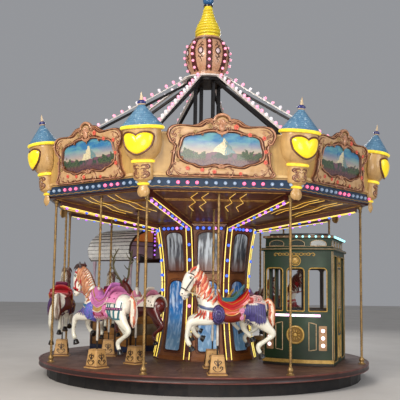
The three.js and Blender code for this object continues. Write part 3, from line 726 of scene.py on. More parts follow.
tubes = Form()
for k in range(8):
    corner = to_corner(k)
    for x in (-0.05, 0.05):
        for low, high in ((0.03, 0.52), (0.53, 1.36), (1.37, 2.36)):
            run = np.linspace(low, high, 9)
            tubes.add(sweep([(x, -(column_radius(z) + 0.012), DECK + z) for z in run], 0.0075, 0.0075,
                            FRONT, 6), place=corner)
tubes = tubes.piece("column_light_tubes", yellow_tube)
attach(tubes, "turntable")

BULB_R = 0.026


def bulb(size=BULB_R, tall=1.15):
    """A round lamp: a short collar and a blown globe."""
    globe = Form()
    globe.add(lathe([
        (0, -size), (size * 0.62, -size), (size * 0.66, -size * 0.45), (size * 0.95, 0),
        (size * 0.95, size * 0.35), (size * 0.62, size * 0.85 * tall), (0, size * tall)], 8))
    return globe


OUTWARDS = tipped(pi / 2)
lamps, pinks = [], []
for k in range(8):
    for n, z in enumerate(np.linspace(2.3, 0.68, 7)):
        lamps.append(to_corner(k) @ Matrix.Translation((0, -(column_radius(z) + 0.018), DECK + z))
                     @ OUTWARDS)
        pinks.append(n in (5, 6))
    for n in range(5):
        lamps.append(to_side(k) @ Matrix.Translation(on_column((n - 2) * 0.105, 2.325, 0.022)) @ OUTWARDS)
        pinks.append(n % 4 == 3)
column_lamps = lay_out("column_bulbs", bulb(0.031), lamps, bulb_blue, bulb_pink, pinks,
                       unevenness=0.04, seed=4)
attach(column_lamps, "turntable")

# Ceiling: eight sloping moulded panels between deep ribs. Gold beads edge the panels, light tubes and
# purple bulbs run along the ribs, and bent yellow tubes make a crackle ornament in each panel.
def panel_wash(tree, place, tint):
    """Darker maroon towards the rim."""
    away = node(tree, "ShaderNodeVectorMath", {0: node(tree, "ShaderNodeVectorMath", {
        0: place, 1: (1, 1, 0)}, operation="MULTIPLY").outputs[0]}, operation="LENGTH")
    outer = fade(tree, away.outputs[1], 2.35, 2.7, 0.0, 0.8)
    return mix(tree, outer, tint, ink("451511"))


ceiling_paint = paint("ceiling_paint", "70361f", "562618", scale=4, rough=0.4, bump=0.12, coat=0.2,
                      over=panel_wash)
wear("ceiling", ceiling_paint)
gold_tube = paint("gold_tube", "e0aa3c", "f2cc6e", scale=5, rough=0.3, glow=0.9)
gold_bead = paint("gold_bead", "b98945", "7d5426", scale=16, rough=0.35, metal=0.5)
bulb_purple = paint("bulb_purple", "9a48dc", "c98af5", scale=40, rough=0.15, glow=1.4)


def on_ceiling(u, away, drop=0.0):
    """A point under a ceiling panel: across it and out from the centre, drop below its face."""
    return (u, -away, ceiling_height(away / cos(CORNER)) - drop)


def under_rib(u, away, drop=0.0):
    return (u, -away, ceiling_height(away) - 0.0695 - drop)


trims, tubes, lamps, blues = Form(), Form(), [], []
rng = random.Random(7)
for k in range(8):
    turn, corner = to_side(k), to_corner(k)
    for near, far in ((1.02, 2.28), (2.34, 2.74)):
        t = tan(CORNER)
        outline = [(-(near * t - 0.12), near), (near * t - 0.12, near), (far * t - 0.12, far),
                   (-(far * t - 0.12), far)]
        path = []
        for (u1, a1), (u2, a2) in zip(outline, outline[1:] + outline[:1]):
            path += [on_ceiling(u1 + (u2 - u1) * s, a1 + (a2 - a1) * s, 0.004) for s in (0.0, 0.02,
                                                                                         0.5, 0.98)]
        trims.add(sweep(path, 0.009, 0.009, (0, 0, -1), 6, True), 0, turn)
    for x in (-0.062, 0.062):
        line = [under_rib(x, r, 0.007) for r in np.linspace(1.03, 2.8, 8)]
        tubes.add(sweep(line, 0.0065, 0.0065, (0, 0, -1), 6), 1, corner)
    for n, r in enumerate(np.arange(1.08, 2.72, 0.18)):
        lamps.append(corner @ Matrix.Translation(under_rib(0, r, 0.012)) @ tipped(pi))
        blues.append(n % 3 == 1)
    for middle in (-0.38, -0.21, 0.21, 0.38):
        bent = [on_ceiling(middle + rng.uniform(-0.01, 0.01) + 0.04 * (-1) ** n, 1.75 + n * 0.24, 0.016)
                for n in range(5)]
        tubes.add(sweep(bent, 0.005, 0.005, (0, 0, -1), 5), 0, turn)
trims = trims.piece("ceiling_beads", gold_bead)
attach(trims, "turntable")
tubes = tubes.piece("ceiling_light_tubes", [gold_tube, yellow_tube])
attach(tubes, "turntable")
rib_lamps = lay_out("ceiling_bulbs", bulb(0.029), lamps, bulb_purple, bulb_blue, blues,
                    unevenness=0.04, seed=5)
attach(rib_lamps, "turntable")

# Light band: a folded steel fascia round the canopy's edge, painted dark blue, with a gold bead along
# its scalloped foot and one round lamp after another, groups of pink between the clear ones.
BAND_FACE, BAND_BACK = 2.8445, 2.8003
BAND_LOW, BAND_HIGH = DECK + 2.781, DECK + 2.939
SCALLOPS, BAND_LAMPS, LAMP_STEP = 8, 16, 0.1435
SKIRT_FACE, SKIRT_LOW, SKIRT_HIGH = 2.8533, DECK + 2.941, DECK + 3.62
LEAN_RATE = 0.119
LEAN = atan(LEAN_RATE)


def eight_sided(profile, relief=None):
    """A ring with eight flat sides through (distance to the side's middle, height) points."""
    return lathe([(a / cos(CORNER), z) for a, z in profile], 8, start=CORNER - pi / 2, relief=relief)


band_blue = paint("band_blue", "12314f", "0b2238", scale=5, rough=0.35, bump=0.1, coat=0.35)
band_gold = paint("band_gold", "c39a4e", "8d6a32", scale=18, rough=0.35, metal=0.4)
band = Form()
band.add(eight_sided([
    (BAND_BACK, BAND_LOW), (BAND_FACE - 0.004, BAND_LOW), (BAND_FACE, BAND_LOW + 0.004),
    (BAND_FACE, BAND_HIGH - 0.003), (BAND_FACE - 0.003, BAND_HIGH), (BAND_BACK, BAND_HIGH)]))
for k in range(8):
    half = (BAND_FACE + 0.002) * tan(CORNER)
    run = np.linspace(-half, half, 129)
    scallop = BAND_LOW + 0.014 + 0.012 * np.abs(np.sin(run / half * pi * SCALLOPS))
    edge = flat(np.column_stack([run, scallop]), BAND_FACE + 0.001)
    band.add(sweep(edge, 0.0065, 0.005, FRONT, 6), 1, to_side(k))
band = band.piece("light_band_fascia", [band_blue, band_gold])
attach(band, "turntable")
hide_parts("light_band")

bulb_clear = paint("bulb_clear", "6f86a6", "a9bace", scale=60, rough=0.12, coat=0.6, glow=0.25)
bulb_rose = paint("bulb_rose", "e4487a", "f88cae", scale=60, rough=0.12, glow=1.0)
lamps, lit = [], []
for k in range(8):
    for n in range(BAND_LAMPS):
        x = (n - (BAND_LAMPS - 1) / 2) * LAMP_STEP
        lamps.append(to_side(k) @ moved_by(x, -BAND_FACE - 0.014, BAND_HIGH - 0.072) @ OUTWARDS)
        lit.append((n + k * 2) % 7 in (3, 4, 5))
band_lamps = lay_out("band_bulbs", bulb(0.031, 0.95), lamps, bulb_clear, bulb_rose, lit,
                     unevenness=0.03, seed=9)
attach(band_lamps, "turntable")

# Backing boards: cream moulded panels that lean out behind the picture boards, with a turned bead at
# the top and a scalloped lip that hangs in front of the light band's upper edge.
def dust_fall(tree, place, tint):
    """Dust that has run down in pale and brown streaks."""
    spread = stretched(tree, place, (9, 9, 0.8))
    runs = noise(tree, spread, 2.4, 5.0)
    share = fade(tree, runs, 0.5, 0.75, 0.0, 0.5)
    return mix(tree, share, tint, ink("8f6a3c"))


cream_board = paint("cream_board", "be9858", "a68045", scale=3, rough=0.42, bump=0.12, coat=0.2,
                    over=dust_fall)
wear("backing_boards", cream_board)
LIP_HALF, LIP_POINTS, LIP_WAVES = 1.165, 97, 5
lips = Form()
board_seats = [to_side(k) @ moved_by(0, -SKIRT_FACE, SKIRT_LOW) @ tipped(LEAN) for k in range(8)]
for place in board_seats:
    run = np.linspace(-LIP_HALF, LIP_HALF, LIP_POINTS)
    wave = 0.5 + 0.5 * np.cos(run / LIP_HALF * pi * LIP_WAVES)
    low = 0.002 + 0.02 * wave
    rings = [[(x, -0.001, z + 0.05), (x, -0.016, z + 0.045), (x, -0.02, z + 0.01), (x, -0.014, z),
              (x, -0.001, z)] for x, z in zip(run, low)]
    lips.add(loft(rings, relief=np.tile([1, 1, 0.9, 0.2, 0.2], LIP_POINTS)), 0, place)
    top = (SKIRT_HIGH - SKIRT_LOW) / cos(LEAN) - 0.012
    wide = (SKIRT_FACE + top * LEAN_RATE) * tan(CORNER) - 0.004
    lips.add(sweep([(x, -0.004, top) for x in np.linspace(-wide, wide, 5)], 0.015, 0.012, FRONT, 8),
             0, place)
cream_lip = paint("cream_lip", "d3b47c", "b98f58", scale=8, rough=0.4, bump=0.14, hollow="6f4423")
lips = lips.piece("backing_lips", cream_lip)
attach(lips, "turntable")

# Picture boards: one on each side, moulded in glass fibre round a painted panel. The mouldings are
# brushed pinkish cream over brown, with carved scrolls, a domed crest, and small bolted rosettes.
board_outer = [
    (0, 0.01), (0.3, 0.01), (0.6, 0.012), (0.77, 0.01), (0.842, 0.056), (0.8, 0.119), (0.766, 0.21),
    (0.755, 0.3),
    (0.743, 0.412), (0.722, 0.48), (0.8, 0.56), (0.836, 0.638), (0.824, 0.717), (0.766, 0.78),
    (0.662, 0.802),
    (0.547, 0.8), (0.42, 0.796), (0.327, 0.813), (0.269, 0.859), (0.177, 0.89), (0.11, 0.92), (0.073, 0.96),
    (0, 0.984)]
board_inner = [
    (0, 0.205), (0.096, 0.222), (0.188, 0.198), (0.304, 0.182), (0.408, 0.222), (0.466, 0.225),
    (0.593, 0.285),
    (0.628, 0.38), (0.6, 0.48), (0.565, 0.59), (0.466, 0.632), (0.327, 0.65), (0.21, 0.684), (0.1, 0.688),
    (0, 0.668)]
BOARD_MIDDLE = np.array([0.0, 0.43])
BOARD_POINTS = 116


def mirrored(half_line):
    return half_line + [(-x, z) for x, z in half_line[-2:0:-1]]


def polar(line):
    """Bearing and distance from the board's middle along a smooth closed line."""
    run = flow(mirrored(line), 720, True) - BOARD_MIDDLE
    bearing = np.unwrap(np.arctan2(run[:, 1], run[:, 0]))
    return bearing, np.hypot(run[:, 0], run[:, 1]), run


bearing, reach, run = polar(board_outer)
length = np.concatenate([[0], np.cumsum(np.linalg.norm(np.diff(run, axis=0), axis=1))])
picks = np.interp(np.linspace(0, length[-1], BOARD_POINTS, endpoint=False), length, bearing)
outer_reach = np.interp(picks, bearing, reach, period=2 * pi)
inner_bearing, inner_reach, _ = polar(board_inner)
inner_reach = np.interp(picks, np.sort(inner_bearing), inner_reach[np.argsort(inner_bearing)], period=2 * pi)


def board_row(share, shift, out):
    """The points all round the board at a share between its edges, moved in by a distance."""
    away = outer_reach + (inner_reach - outer_reach) * share - shift
    return np.column_stack([away * np.cos(picks), np.full(len(picks), -out), away * np.sin(picks)
                            + BOARD_MIDDLE[1]])


board_profile = [
    (0, 0.0, 0.0, 1), (0, 0.0, 0.034, 0.3), (0, 0.004, 0.05, 1), (0, 0.016, 0.059, 1), (0, 0.03, 0.056, 1),
    (0, 0.04, 0.042, 0.1), (0, 0.046, 0.037, 0.0), (0, 0.06, 0.04, 0.9), (0.3, 0.03, 0.048, 1),
    (0.65, -0.02, 0.046, 1),
    (1, -0.062, 0.041, 0.9), (1, -0.052, 0.037, 0.0), (1, -0.046, 0.043, 0.1), (1, -0.034, 0.056, 1),
    (1, -0.02, 0.058, 1), (1, -0.006, 0.048, 0.6), (1, 0.0, 0.034, 0.0), (1, 0.004, 0.018, 0.0),
    (1, 0.004, 0.0, 1)]
frame_rows = [board_row(share, shift, out) for share, shift, out, _ in board_profile]
frame_relief = np.repeat([crest for *_, crest in board_profile], len(picks))
MOULDING, FIELD, GILT, OUTLINE_AND_SHADE = range(4)
# The outline rows lie on the mouldings' flanks. With the wide layer under every scroll, they are brown
# darkened as painted shade, leaving only the crests cream.
OUTLINED = (1, 2, 4, 5, 6, 10, 11, 12, 14, 15, 16)
frame_finishes = []
for n in range(len(board_profile)):
    frame_finishes += [OUTLINE_AND_SHADE if n in OUTLINED else FIELD if 6 <= n <= 10 else MOULDING] * len(picks)

scrolls = [
    ([(-.547, .785), (-.66, .79), (-.755, .755), (-.805, .684), (-.805, .61), (-.775, .55)], -.738, .56,
     .034, -2.2, 1.1, 1, .019),
    ([(-.58, .745), (-.66, .738), (-.73, .70), (-.757, .65)], -.715, .625, .03, 2.6, 1.1, -1, .014),
    ([(-.62, .735), (-.64, .69), (-.67, .66)], -.645, .70, .018, -1.2, .8, 1, .010),
    ([(-.755, .52), (-.715, .46), (-.705, .40), (-.72, .35)], -.748, .375, .02, -.6, 1.0, 1, .013),
    ([(-.70, .40), (-.735, .31), (-.735, .22)], -.703, .20, .022, 2.9, 1.0, -1, .012),
    ([(-.74, .27), (-.738, .19), (-.70, .11), (-.63, .045), (-.56, .03)], -.53, .055, .026, -1.5, 1.0,
     1, .015), ([(-.72, .14), (-.735, .09), (-.77, .045)], -.80, .07, .026, -.6, 1.1, 1, .014),
    ([(-.70, .16), (-.67, .12), (-.635, .095)], -.63, .12, .02, -1.4, .9, 1, .011),
    ([(-.44, .03), (-.40, .06), (-.355, .06)], -.335, .043, .018, 1.8, .9, -1, .010),
    ([(-.58, .60), (-.53, .655), (-.46, .672)], -.445, .65, .02, 1.6, 1.0, -1, .011),
    ([(-.40, .665), (-.35, .685), (-.30, .675)], -.30, .655, .018, 1.6, 1.0, -1, .010),
    ([(-.02, .175), (-.09, .175), (-.16, .145), (-.19, .09), (-.165, .035)], -.13, .04, .028, -2.8, 1.0,
     1, .014), ([(-.03, .15), (-.08, .13), (-.11, .10)], -.085, .085, .018, 2.6, .9, 1, .009),
    ([(-.47, .785), (-.40, .79), (-.33, .82), (-.27, .865), (-.19, .882)], -.165, .86, .024, 1.4, 1.1,
     -1, .016), ([(-.25, .80), (-.21, .84), (-.16, .835)], -.15, .815, .02, 1.4, 1.0, -1, .011),
    ([(-.14, .70), (-.13, .78), (-.10, .83)], -.075, .815, .022, 2.2, 1.0, -1, .013),
    ([(-.20, .70), (-.15, .715), (-.08, .70), (-.04, .675)], -.10, .745, .028, -.9, 1.0, 1, .013),
    ([(-.66, .40), (-.66, .33), (-.62, .27)], -.60, .30, .02, -1.6, .9, 1, .010)]
moulding_paint = paint("moulding_paint", "c48f6c", "9c6848", scale=16, rough=0.35, bump=0.16, coat=0.35,
                       hollow="43200f")
field_paint = paint("field_paint", "cba47a", "b18858", scale=6, rough=0.42, bump=0.14, hollow="5a3018",
                    coat=0.15)
gilt = paint("worn_gilt", "8e6433", "5f3d1d", scale=20, rough=0.38, metal=0.25, bump=0.16)
brown_outline_and_shade = paint("brown_outline_and_shade", "6e3c20", "43210f", scale=14, rough=0.42)
carved = Form()
pictures = Form()
rosettes, faded = [], []
flowers = [
    (.216, .774, 1.35, 0), (.424, .661, 1.1, 0), (.644, .616, 1.1, 0), (.673, .412, 1.0, 0),
    (.673, .254, 1.1, 0),
    (.297, .073, .95, 0), (-.102, .096, 1.1, 0), (-.287, .119, 1.0, 0), (-.506, .141, 1.05, 0),
    (-.183, .785, 1.2, 1),
    (-.402, .695, 1.0, 1), (-.63, .627, 1.0, 1), (-.657, .424, .9, 1), (-.66, .262, 1.0, 1)]
for seat in board_seats:
    carved.add(loft(frame_rows, True, frame_relief), frame_finishes, seat)
    for hand in (-1, 1):
        for tail, x, z, radius, start, turns, way, thick in scrolls:
            path = [(-hand * px, pz) for px, pz in tail]
            for wider, out, lift, sides, fine, finish in (
                    (1.9, 0.042, 0.35, 4, 13, OUTLINE_AND_SHADE), (0.62, 0.053, 0.9, 5, 14, MOULDING)):
                carved.add(scroll_leaf(path, -hand * x, z, radius, start if hand < 0 else pi - start, turns,
                                       way if hand < 0 else -way, thick * wider, out, lift, sides, fine),
                                           finish, seat)
    arch = flow([(-.12, .865), (-.105, .915), (-.06, .95), (0, .964), (.06, .95), (.105, .915),
                 (.12, .865)], 26)
    carved.add(sweep(flat(arch, .045), .02, .018, FRONT, 8), MOULDING, seat)
    inner_arch = flat((arch - (0, .84)) * .76 + (0, .84), .05)
    carved.add(sweep(inner_arch, .008, .008, FRONT, 6), GILT, seat)
    for petal in range(7):
        a = radians(90 + (petal - 3) * 25)
        root, tip = np.array([0, .80]), np.array([.078 * cos(a), .80 + .10 * sin(a)])
        line = [root + (tip - root) * s for s in np.linspace(.15, 1, 7)]
        carved.add(sweep([(x, -.052, z) for x, z in line], [.004, .007, .010, .013, .015, .012, .004],
                         [.006, .009, .011, .012, .012, .01, .004], FRONT, 8), MOULDING, seat)
    carved.add(lathe([(0, 0), (.036, .004), (.05, .014), (.046, .026), (.03, .036), (0, .04)], 20, 1.3,
                     relief=[.2, .1, .3, 1, 1, 1]), MOULDING, seat @ moved_by(0, -.038, .77) @ OUTWARDS)
    lip = flow([(-.10, .722), (-.06, .69), (0, .672), (.06, .69), (.10, .722)], 18)
    carved.add(sweep(flat(lip, .05), taper(18, .021, .5, .5), .017, FRONT, 8), MOULDING, seat)
    carved.add(sweep([(0, -.046, z) for z in (.668, .65, .632, .615)], [.018, .015, .01, .003],
                     [.014, .012, .009, .003], FRONT, 8), GILT, seat)
    knot = flow([(-.045, .178), (-.02, .20), (.02, .20), (.045, .178), (.02, .158), (-.02, .158)], 24, True)
    carved.add(sweep(flat(knot, .052), .011, .011, FRONT, 6, True), MOULDING, seat)
    pictures.add(loft([board_row(1, -0.006, out) for out in (0.008, 0.023)]), 0, seat)
    for x, z, size, pale in flowers:
        rosettes.append(seat @ moved_by(x, -.046, z) @ OUTWARDS @ tipped(x * 7, "Z")
                        @ Matrix.Scale(size, 4))
        faded.append(pale)
boards = carved.piece("picture_boards", [moulding_paint, field_paint, gilt, brown_outline_and_shade], crease=48)
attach(boards, "turntable")
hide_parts(*(f"picture_board_{k + 1}" for k in range(8)))


def landscape(tree, place, tint):
    """A painted view: evening sky, a pale peak over wooded hills, and a dark heath in front."""
    drawn = node(tree, "ShaderNodeAttribute", attribute_name="drawn").outputs["Vector"]
    x, _, z = parts_of(tree, drawn)
    own = node(tree, "ShaderNodeVectorMath", {0: place, 1: (0.35, 0.35, 0.0)}, operation="MULTIPLY")
    moved = node(tree, "ShaderNodeVectorMath", {0: drawn, 1: own.outputs[0]}, operation="ADD").outputs[0]
    clouds = noise(tree, stretched(tree, moved, (1, 1, 3.5)), 3.0, 5.0).outputs[0]
    rough = noise(tree, moved, 11.0, 4.0).outputs[0]
    fine = noise(tree, moved, 46.0, 3.0).outputs[0]
    sky = mix(tree, fade(tree, clouds, 0.42, 0.62), ink("2f6f9e"), ink("5f9aa0"))
    warm = fade(tree, z, 0.56, 0.34)
    sky = mix(tree, warm, sky, ink("c9a987"))
    aside = work(tree, "ABSOLUTE", work(tree, "SUBTRACT", x, 0.03))
    crest = work(tree, "MULTIPLY_ADD", aside, -1.15, 0.60)
    crest = work(tree, "MULTIPLY_ADD", rough, 0.16, work(tree, "SUBTRACT", crest, 0.08))
    peak = work(tree, "LESS_THAN", z, crest)
    lit_side = work(tree, "GREATER_THAN", work(tree, "MULTIPLY_ADD", fine, 0.16, work(tree, "SUBTRACT", 0.0,
                                                                                      x)), 0.02)
    rock = mix(tree, lit_side, ink("5f8286"), ink("d8cca6"))
    rock = mix(tree, fade(tree, fine, 0.5, 0.62, 0.0, 0.6), rock, ink("a08a66"))
    view = mix(tree, peak, sky, rock)
    hill = work(tree, "MULTIPLY_ADD", clouds, 0.22, 0.27)
    wooded = mix(tree, fade(tree, rough, 0.44, 0.56), ink("6d4a56"), ink("2f4436"))
    view = mix(tree, work(tree, "LESS_THAN", z, hill), view, wooded)
    tree_tops = work(tree, "MULTIPLY_ADD", rough, 0.34, 0.22)
    outer = work(tree, "GREATER_THAN", work(tree, "ABSOLUTE", x), 0.24)
    grove = work(tree, "MULTIPLY", work(tree, "LESS_THAN", z, tree_tops), outer)
    view = mix(tree, grove, view, mix(tree, fade(tree, fine, 0.4, 0.6), ink("26362c"), ink("50603c")))
    heath = mix(tree, fade(tree, fine, 0.42, 0.62), ink("4a2b3a"), ink("6d4a3c"))
    return mix(tree, fade(tree, z, 0.31, 0.26), view, heath)


picture_paint = paint("picture_paint", "4f8fa6", rough=0.3, bump=0.05, coat=0.5, over=landscape)
pictures = pictures.piece("board_pictures", picture_paint, drawn=True)
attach(pictures, "turntable")

flower = Form()
for petal in range(5):
    a = petal * 2 * pi / 5
    flower.add(lathe([(0, 0), (.0145, .005), (.009, .014), (0, .016)], 6, 0.86, relief=[0.1, 0.4, 1, 1]), 0,
               moved_by(.0155 * cos(a), .0155 * sin(a), 0))
flower.add(lathe([(0, 0), (.009, .004), (.008, .018), (0, .021)], 6, relief=[0, 0, 0.5, 0.6]))
coral = paint("coral_rosette", "e8745a", "cf5040", scale=30, rough=0.35, coat=0.3, hollow="9c3326")
faded_rosette = paint("faded_rosette", "b2905f", "98774a", scale=30, rough=0.45, hollow="6b4a28")
rosettes = lay_out("board_rosettes", flower, rosettes, coral, faded_rosette, faded, size=1.15,
                   unevenness=0.06, seed=3)
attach(rosettes, "turntable")

# Corner turrets: moulded half-barrels bolted over the canopy's corners. Each has a drop ball, a scroll
# corbel and a yellow heart lamp between two lit rings, under a cone of pale-blue scales and a spike.
TURRET_FOOT = DECK + 2.631
TURRET_OUT = 3.021
TURRET_OVAL = 0.78
BARREL, SPIKE = 0, 4
turret_profile = [
    (0, 2.631, 0), (.03, 2.633, 0), (.06, 2.645, 0), (.085, 2.668, 0), (.1, 2.7, 0), (.101, 2.735, 0),
    (.09, 2.768, 0), (.07, 2.798, 0), (.07, 2.818, 1), (.09, 2.822, 1), (.1, 2.836, 1), (.09, 2.85, 1),
    (.078, 2.856, 0), (.08, 2.866, 0), (.115, 2.882, 0), (.146, 2.902, 0), (.157, 2.93, 0), (.159, 3.0, 0),
    (.156, 3.08, 0), (.152, 3.14, 0), (.16, 3.152, 1), (.184, 3.16, 1), (.187, 3.175, 1), (.184, 3.19, 1),
    (.165, 3.198, 0), (.17, 3.206, 0), (.205, 3.23, 0), (.242, 3.268, 0), (.268, 3.31, 0), (.288, 3.37, 0),
    (.3, 3.44, 0), (.304, 3.52, 0), (.302, 3.619, 0), (.302, 3.622, 0), (.3, 3.648, 0), (.322, 3.652, 1),
    (.344, 3.664, 1), (.35, 3.68, 1), (.344, 3.696, 1), (.33, 3.704, 2)]
for course in range(9):
    r1, z1 = .326 - course * .0312, 3.708 + course * .0352
    turret_profile += [(r1, z1, 2), (r1 - .022, z1 + .0275, 2), (r1 - .0262, z1 + .0352, 2)]
turret_profile += [
    (.044, 4.026, 4), (.056, 4.034, 4), (.058, 4.044, 3), (.07, 4.056, 3), (.069, 4.074, 3),
    (.054, 4.088, 3), (.036, 4.1, 4), (.028, 4.115, 4), (.02, 4.16, 4), (.006, 4.215, 4), (0, 4.23, 4)]


def skirt_corner(z):
    """Radius of the canopy's own corner at a height, where a turret is cut to fit."""
    if z < BAND_HIGH:
        return (BAND_FACE + 0.0015) / cos(CORNER)
    return (SKIRT_FACE + 0.001 + (min(z, SKIRT_HIGH) - SKIRT_LOW) * LEAN_RATE) / cos(CORNER)


def fitted(points):
    """Turret points cut back to the canopy's corner, in the corner's own upright frame."""
    stand = moved_by(0, -TURRET_OUT, TURRET_FOOT) @ tipped(LEAN)
    turn = np.array(stand)
    points = np.asarray(points, float) - (0, 0, TURRET_FOOT - DECK)
    points = points @ turn[:3, :3].T + turn[:3, 3]
    for p in points:
        if p[2] < SKIRT_HIGH + 0.001:
            p[1] = min(p[1], -skirt_corner(p[2]) + tan(CORNER) * abs(p[0]))
    return points


def barrel_front(x, z):
    """How far out the barrel's face stands at a point."""
    radius = float(np.interp(z, [3.15, 3.25, 3.31, 3.37, 3.44, 3.66], [.25, .262, .278, .29, .3, .303]))
    return TURRET_OVAL * sqrt(max(radius**2 - x * x, 0.0))


def heart_line(share, count=36):
    """The heart's outline on the barrel, shrunk towards its middle."""
    line = []
    for t in round_angles(count):
        x = .236 * copysign(abs(sin(t)) ** 2.3, sin(t))
        rise = 13 * cos(t) - 5 * cos(2 * t) - 2 * cos(3 * t) - cos(4 * t)
        z = .016 + .15 * (rise / 12) ** 0.5 if rise > 0 else -.168 * sin(min(-rise / 17, 1) * pi / 2) + .016
        line.append((x * share, 3.425 + z * share))
    return line


TURRET_STEPS = 24
points, faces, own = lathe([(r, z) for r, z, _ in turret_profile], TURRET_STEPS, TURRET_OVAL, relief=[
    1 if f != 2 else (0.1 if i % 3 == 0 else 1) for i, (_, _, f) in enumerate(turret_profile)])
turret_finishes = []
for _, _, f in turret_profile[1:-2]:
    turret_finishes += [f] * TURRET_STEPS
turret_finishes += [BARREL, SPIKE] * TURRET_STEPS
turret_shell = (fitted(points), faces, own)
cream_barrel = paint("cream_barrel", "cba368", "b38a52", scale=4, rough=0.36, bump=0.1, coat=0.35,
                     over=dust_fall)
ring_yellow = paint("ring_yellow", "f2de3c", "d9b62a", scale=14, rough=0.35, glow=0.55)


def scale_tiles(tree, place, tint):
    """Scales scratched into the cone, some catching pale dust."""
    cells = node(tree, "ShaderNodeTexVoronoi", {"Vector": place, "Scale": 34.0}, feature="DISTANCE_TO_EDGE")
    lines = fade(tree, cells, 0.0, 0.09, 0.8, 0.0)
    lined = mix(tree, lines, tint, ink("3b5f80"))
    chips = noise(tree, place, 26.0, 3.0)
    share = fade(tree, chips, 0.6, 0.7, 0.0, 0.85)
    return mix(tree, share, lined, ink("b9cfdc"))


slate_blue = paint("slate_blue", "6a93ad", "4b7594", scale=10, rough=0.4, bump=0.3, grain=60,
                   hollow="35587a", over=scale_tiles)
collar_blue = paint("collar_blue", "2c2f78", "1d2054", scale=20, rough=0.3, coat=0.4)
spike_pale = paint("spike_pale", "d9c4a4", "b79c78", scale=20, rough=0.35)
heart_yellow = paint("heart_yellow", "f7dc1e", "f0c814", scale=7, rough=0.3, coat=0.4, glow=0.35)
turrets = Form()
hearts = Form()
for k in range(8):
    corner = to_corner(k)
    turrets.add(turret_shell, turret_finishes, corner)
    rings = []
    for share, proud in ((1.03, -0.012), (1.0, 0.006), (0.97, 0.018), (0.9, 0.03), (0.75, 0.041),
                         (0.45, 0.05), (0.1, 0.053)):
        rings.append(fitted([(x, -(barrel_front(x, z) + proud), z) for x, z in heart_line(share)]))
    hearts.add(loft(rings), 0, corner)
    edge = fitted([(x, -(barrel_front(x, z) + 0.008), z) for x, z in heart_line(1.05)])
    hearts.add(sweep(edge, 0.017, 0.016, FRONT, 8, True), 1, corner)
    for hand in (-1, 1):
        for tail, x, z, radius, start, turns, thick in (
                ([(.012, 3.09), (.04, 3.115), (.08, 3.11)], .10, 3.085, .024, 1.2, 1.1, .011),
                ([(.0, 3.04), (.03, 3.065), (.06, 3.06)], .062, 3.035, .022, 1.4, 1.1, .010),
                ([(.0, 2.945), (.05, 2.925), (.10, 2.945)], .09, 2.985, .03, -.7, 1.2, .013),
                ([(.0, 2.97), (.02, 2.955), (.04, 2.96)], .035, 2.99, .022, -1.2, 1.2, .009)):
            # Under each scroll lies a wider brown layer: an outline darkened as painted shade round the
            # scroll.
            for wider, sink, lift, finish in ((2.0, 0.004, 0.35, 1), (0.5, -0.005, 0.9, 2)):
                points, faces, own = scroll_leaf(
                    [(hand * px, pz) for px, pz in tail], hand * x, z, radius, start if hand > 0 else pi
                    - start, turns, -hand if start > 0 else hand, thick * wider, 0.0, lift)
                points = np.asarray(points)
                points[:, 1] += -TURRET_OVAL * np.sqrt(np.maximum(.158**2 - points[:, 0] ** 2, 0.0)) + sink
                hearts.add((fitted(points), faces, own), finish, corner)
turrets = turrets.piece("corner_turrets", [cream_barrel, ring_yellow, slate_blue, collar_blue, spike_pale],
                        crease=32)
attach(turrets, "turntable")
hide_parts(*(f"turret_{k + 1}" for k in range(8)))
hearts = hearts.piece("turret_hearts", [heart_yellow, brown_outline_and_shade, moulding_paint], crease=45)
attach(hearts, "turntable")

# Open roof: square steel tube struts and a truss of four posts, welded up and sprayed black. White
# light strips lie over the struts, with round lamps screwed in along them, pink among clear.
wear("roof_frame", dark_steel)
# The white strips glow faintly: painted light on their paint. The lamps are the bulbs along them.
strip_white = paint("strip_white", "e4ddd6", "cfc5bd", scale=10, rough=0.4, bump=0.1, glow=0.12)
wear("light_strips", strip_white)
lamps, lit = [], []
STRIP_HEAD, STRIP_FOOT = (0.5, DECK + 5.24 + 0.012), (2.68, DECK + 3.73 + 0.046)
slope = atan2(STRIP_HEAD[1] - STRIP_FOOT[1], STRIP_FOOT[0] - STRIP_HEAD[0])
for k in range(8):
    for n in range(15):
        t = (n + 0.5) / 15
        away = STRIP_HEAD[0] + (STRIP_FOOT[0] - STRIP_HEAD[0]) * t
        height_here = STRIP_HEAD[1] + (STRIP_FOOT[1] - STRIP_HEAD[1]) * t
        lamps.append(to_corner(k) @ moved_by(0, -away, height_here + 0.022) @ tipped(slope))
        lit.append((n * 5 + k * 3) % 7 < 4)
bulb_pale = paint("bulb_pale", "ddd3dc", "f5eef2", scale=60, rough=0.12, coat=0.5, glow=0.35)
bulb_blush = paint("bulb_blush", "ee7ba0", "ffb9cb", scale=60, rough=0.15, glow=0.8)
strip_lamps = lay_out("roof_strip_bulbs", bulb(0.033), lamps, bulb_pale, bulb_blush, lit, unevenness=0.05,
                      seed=12)
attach(strip_lamps, "turntable")

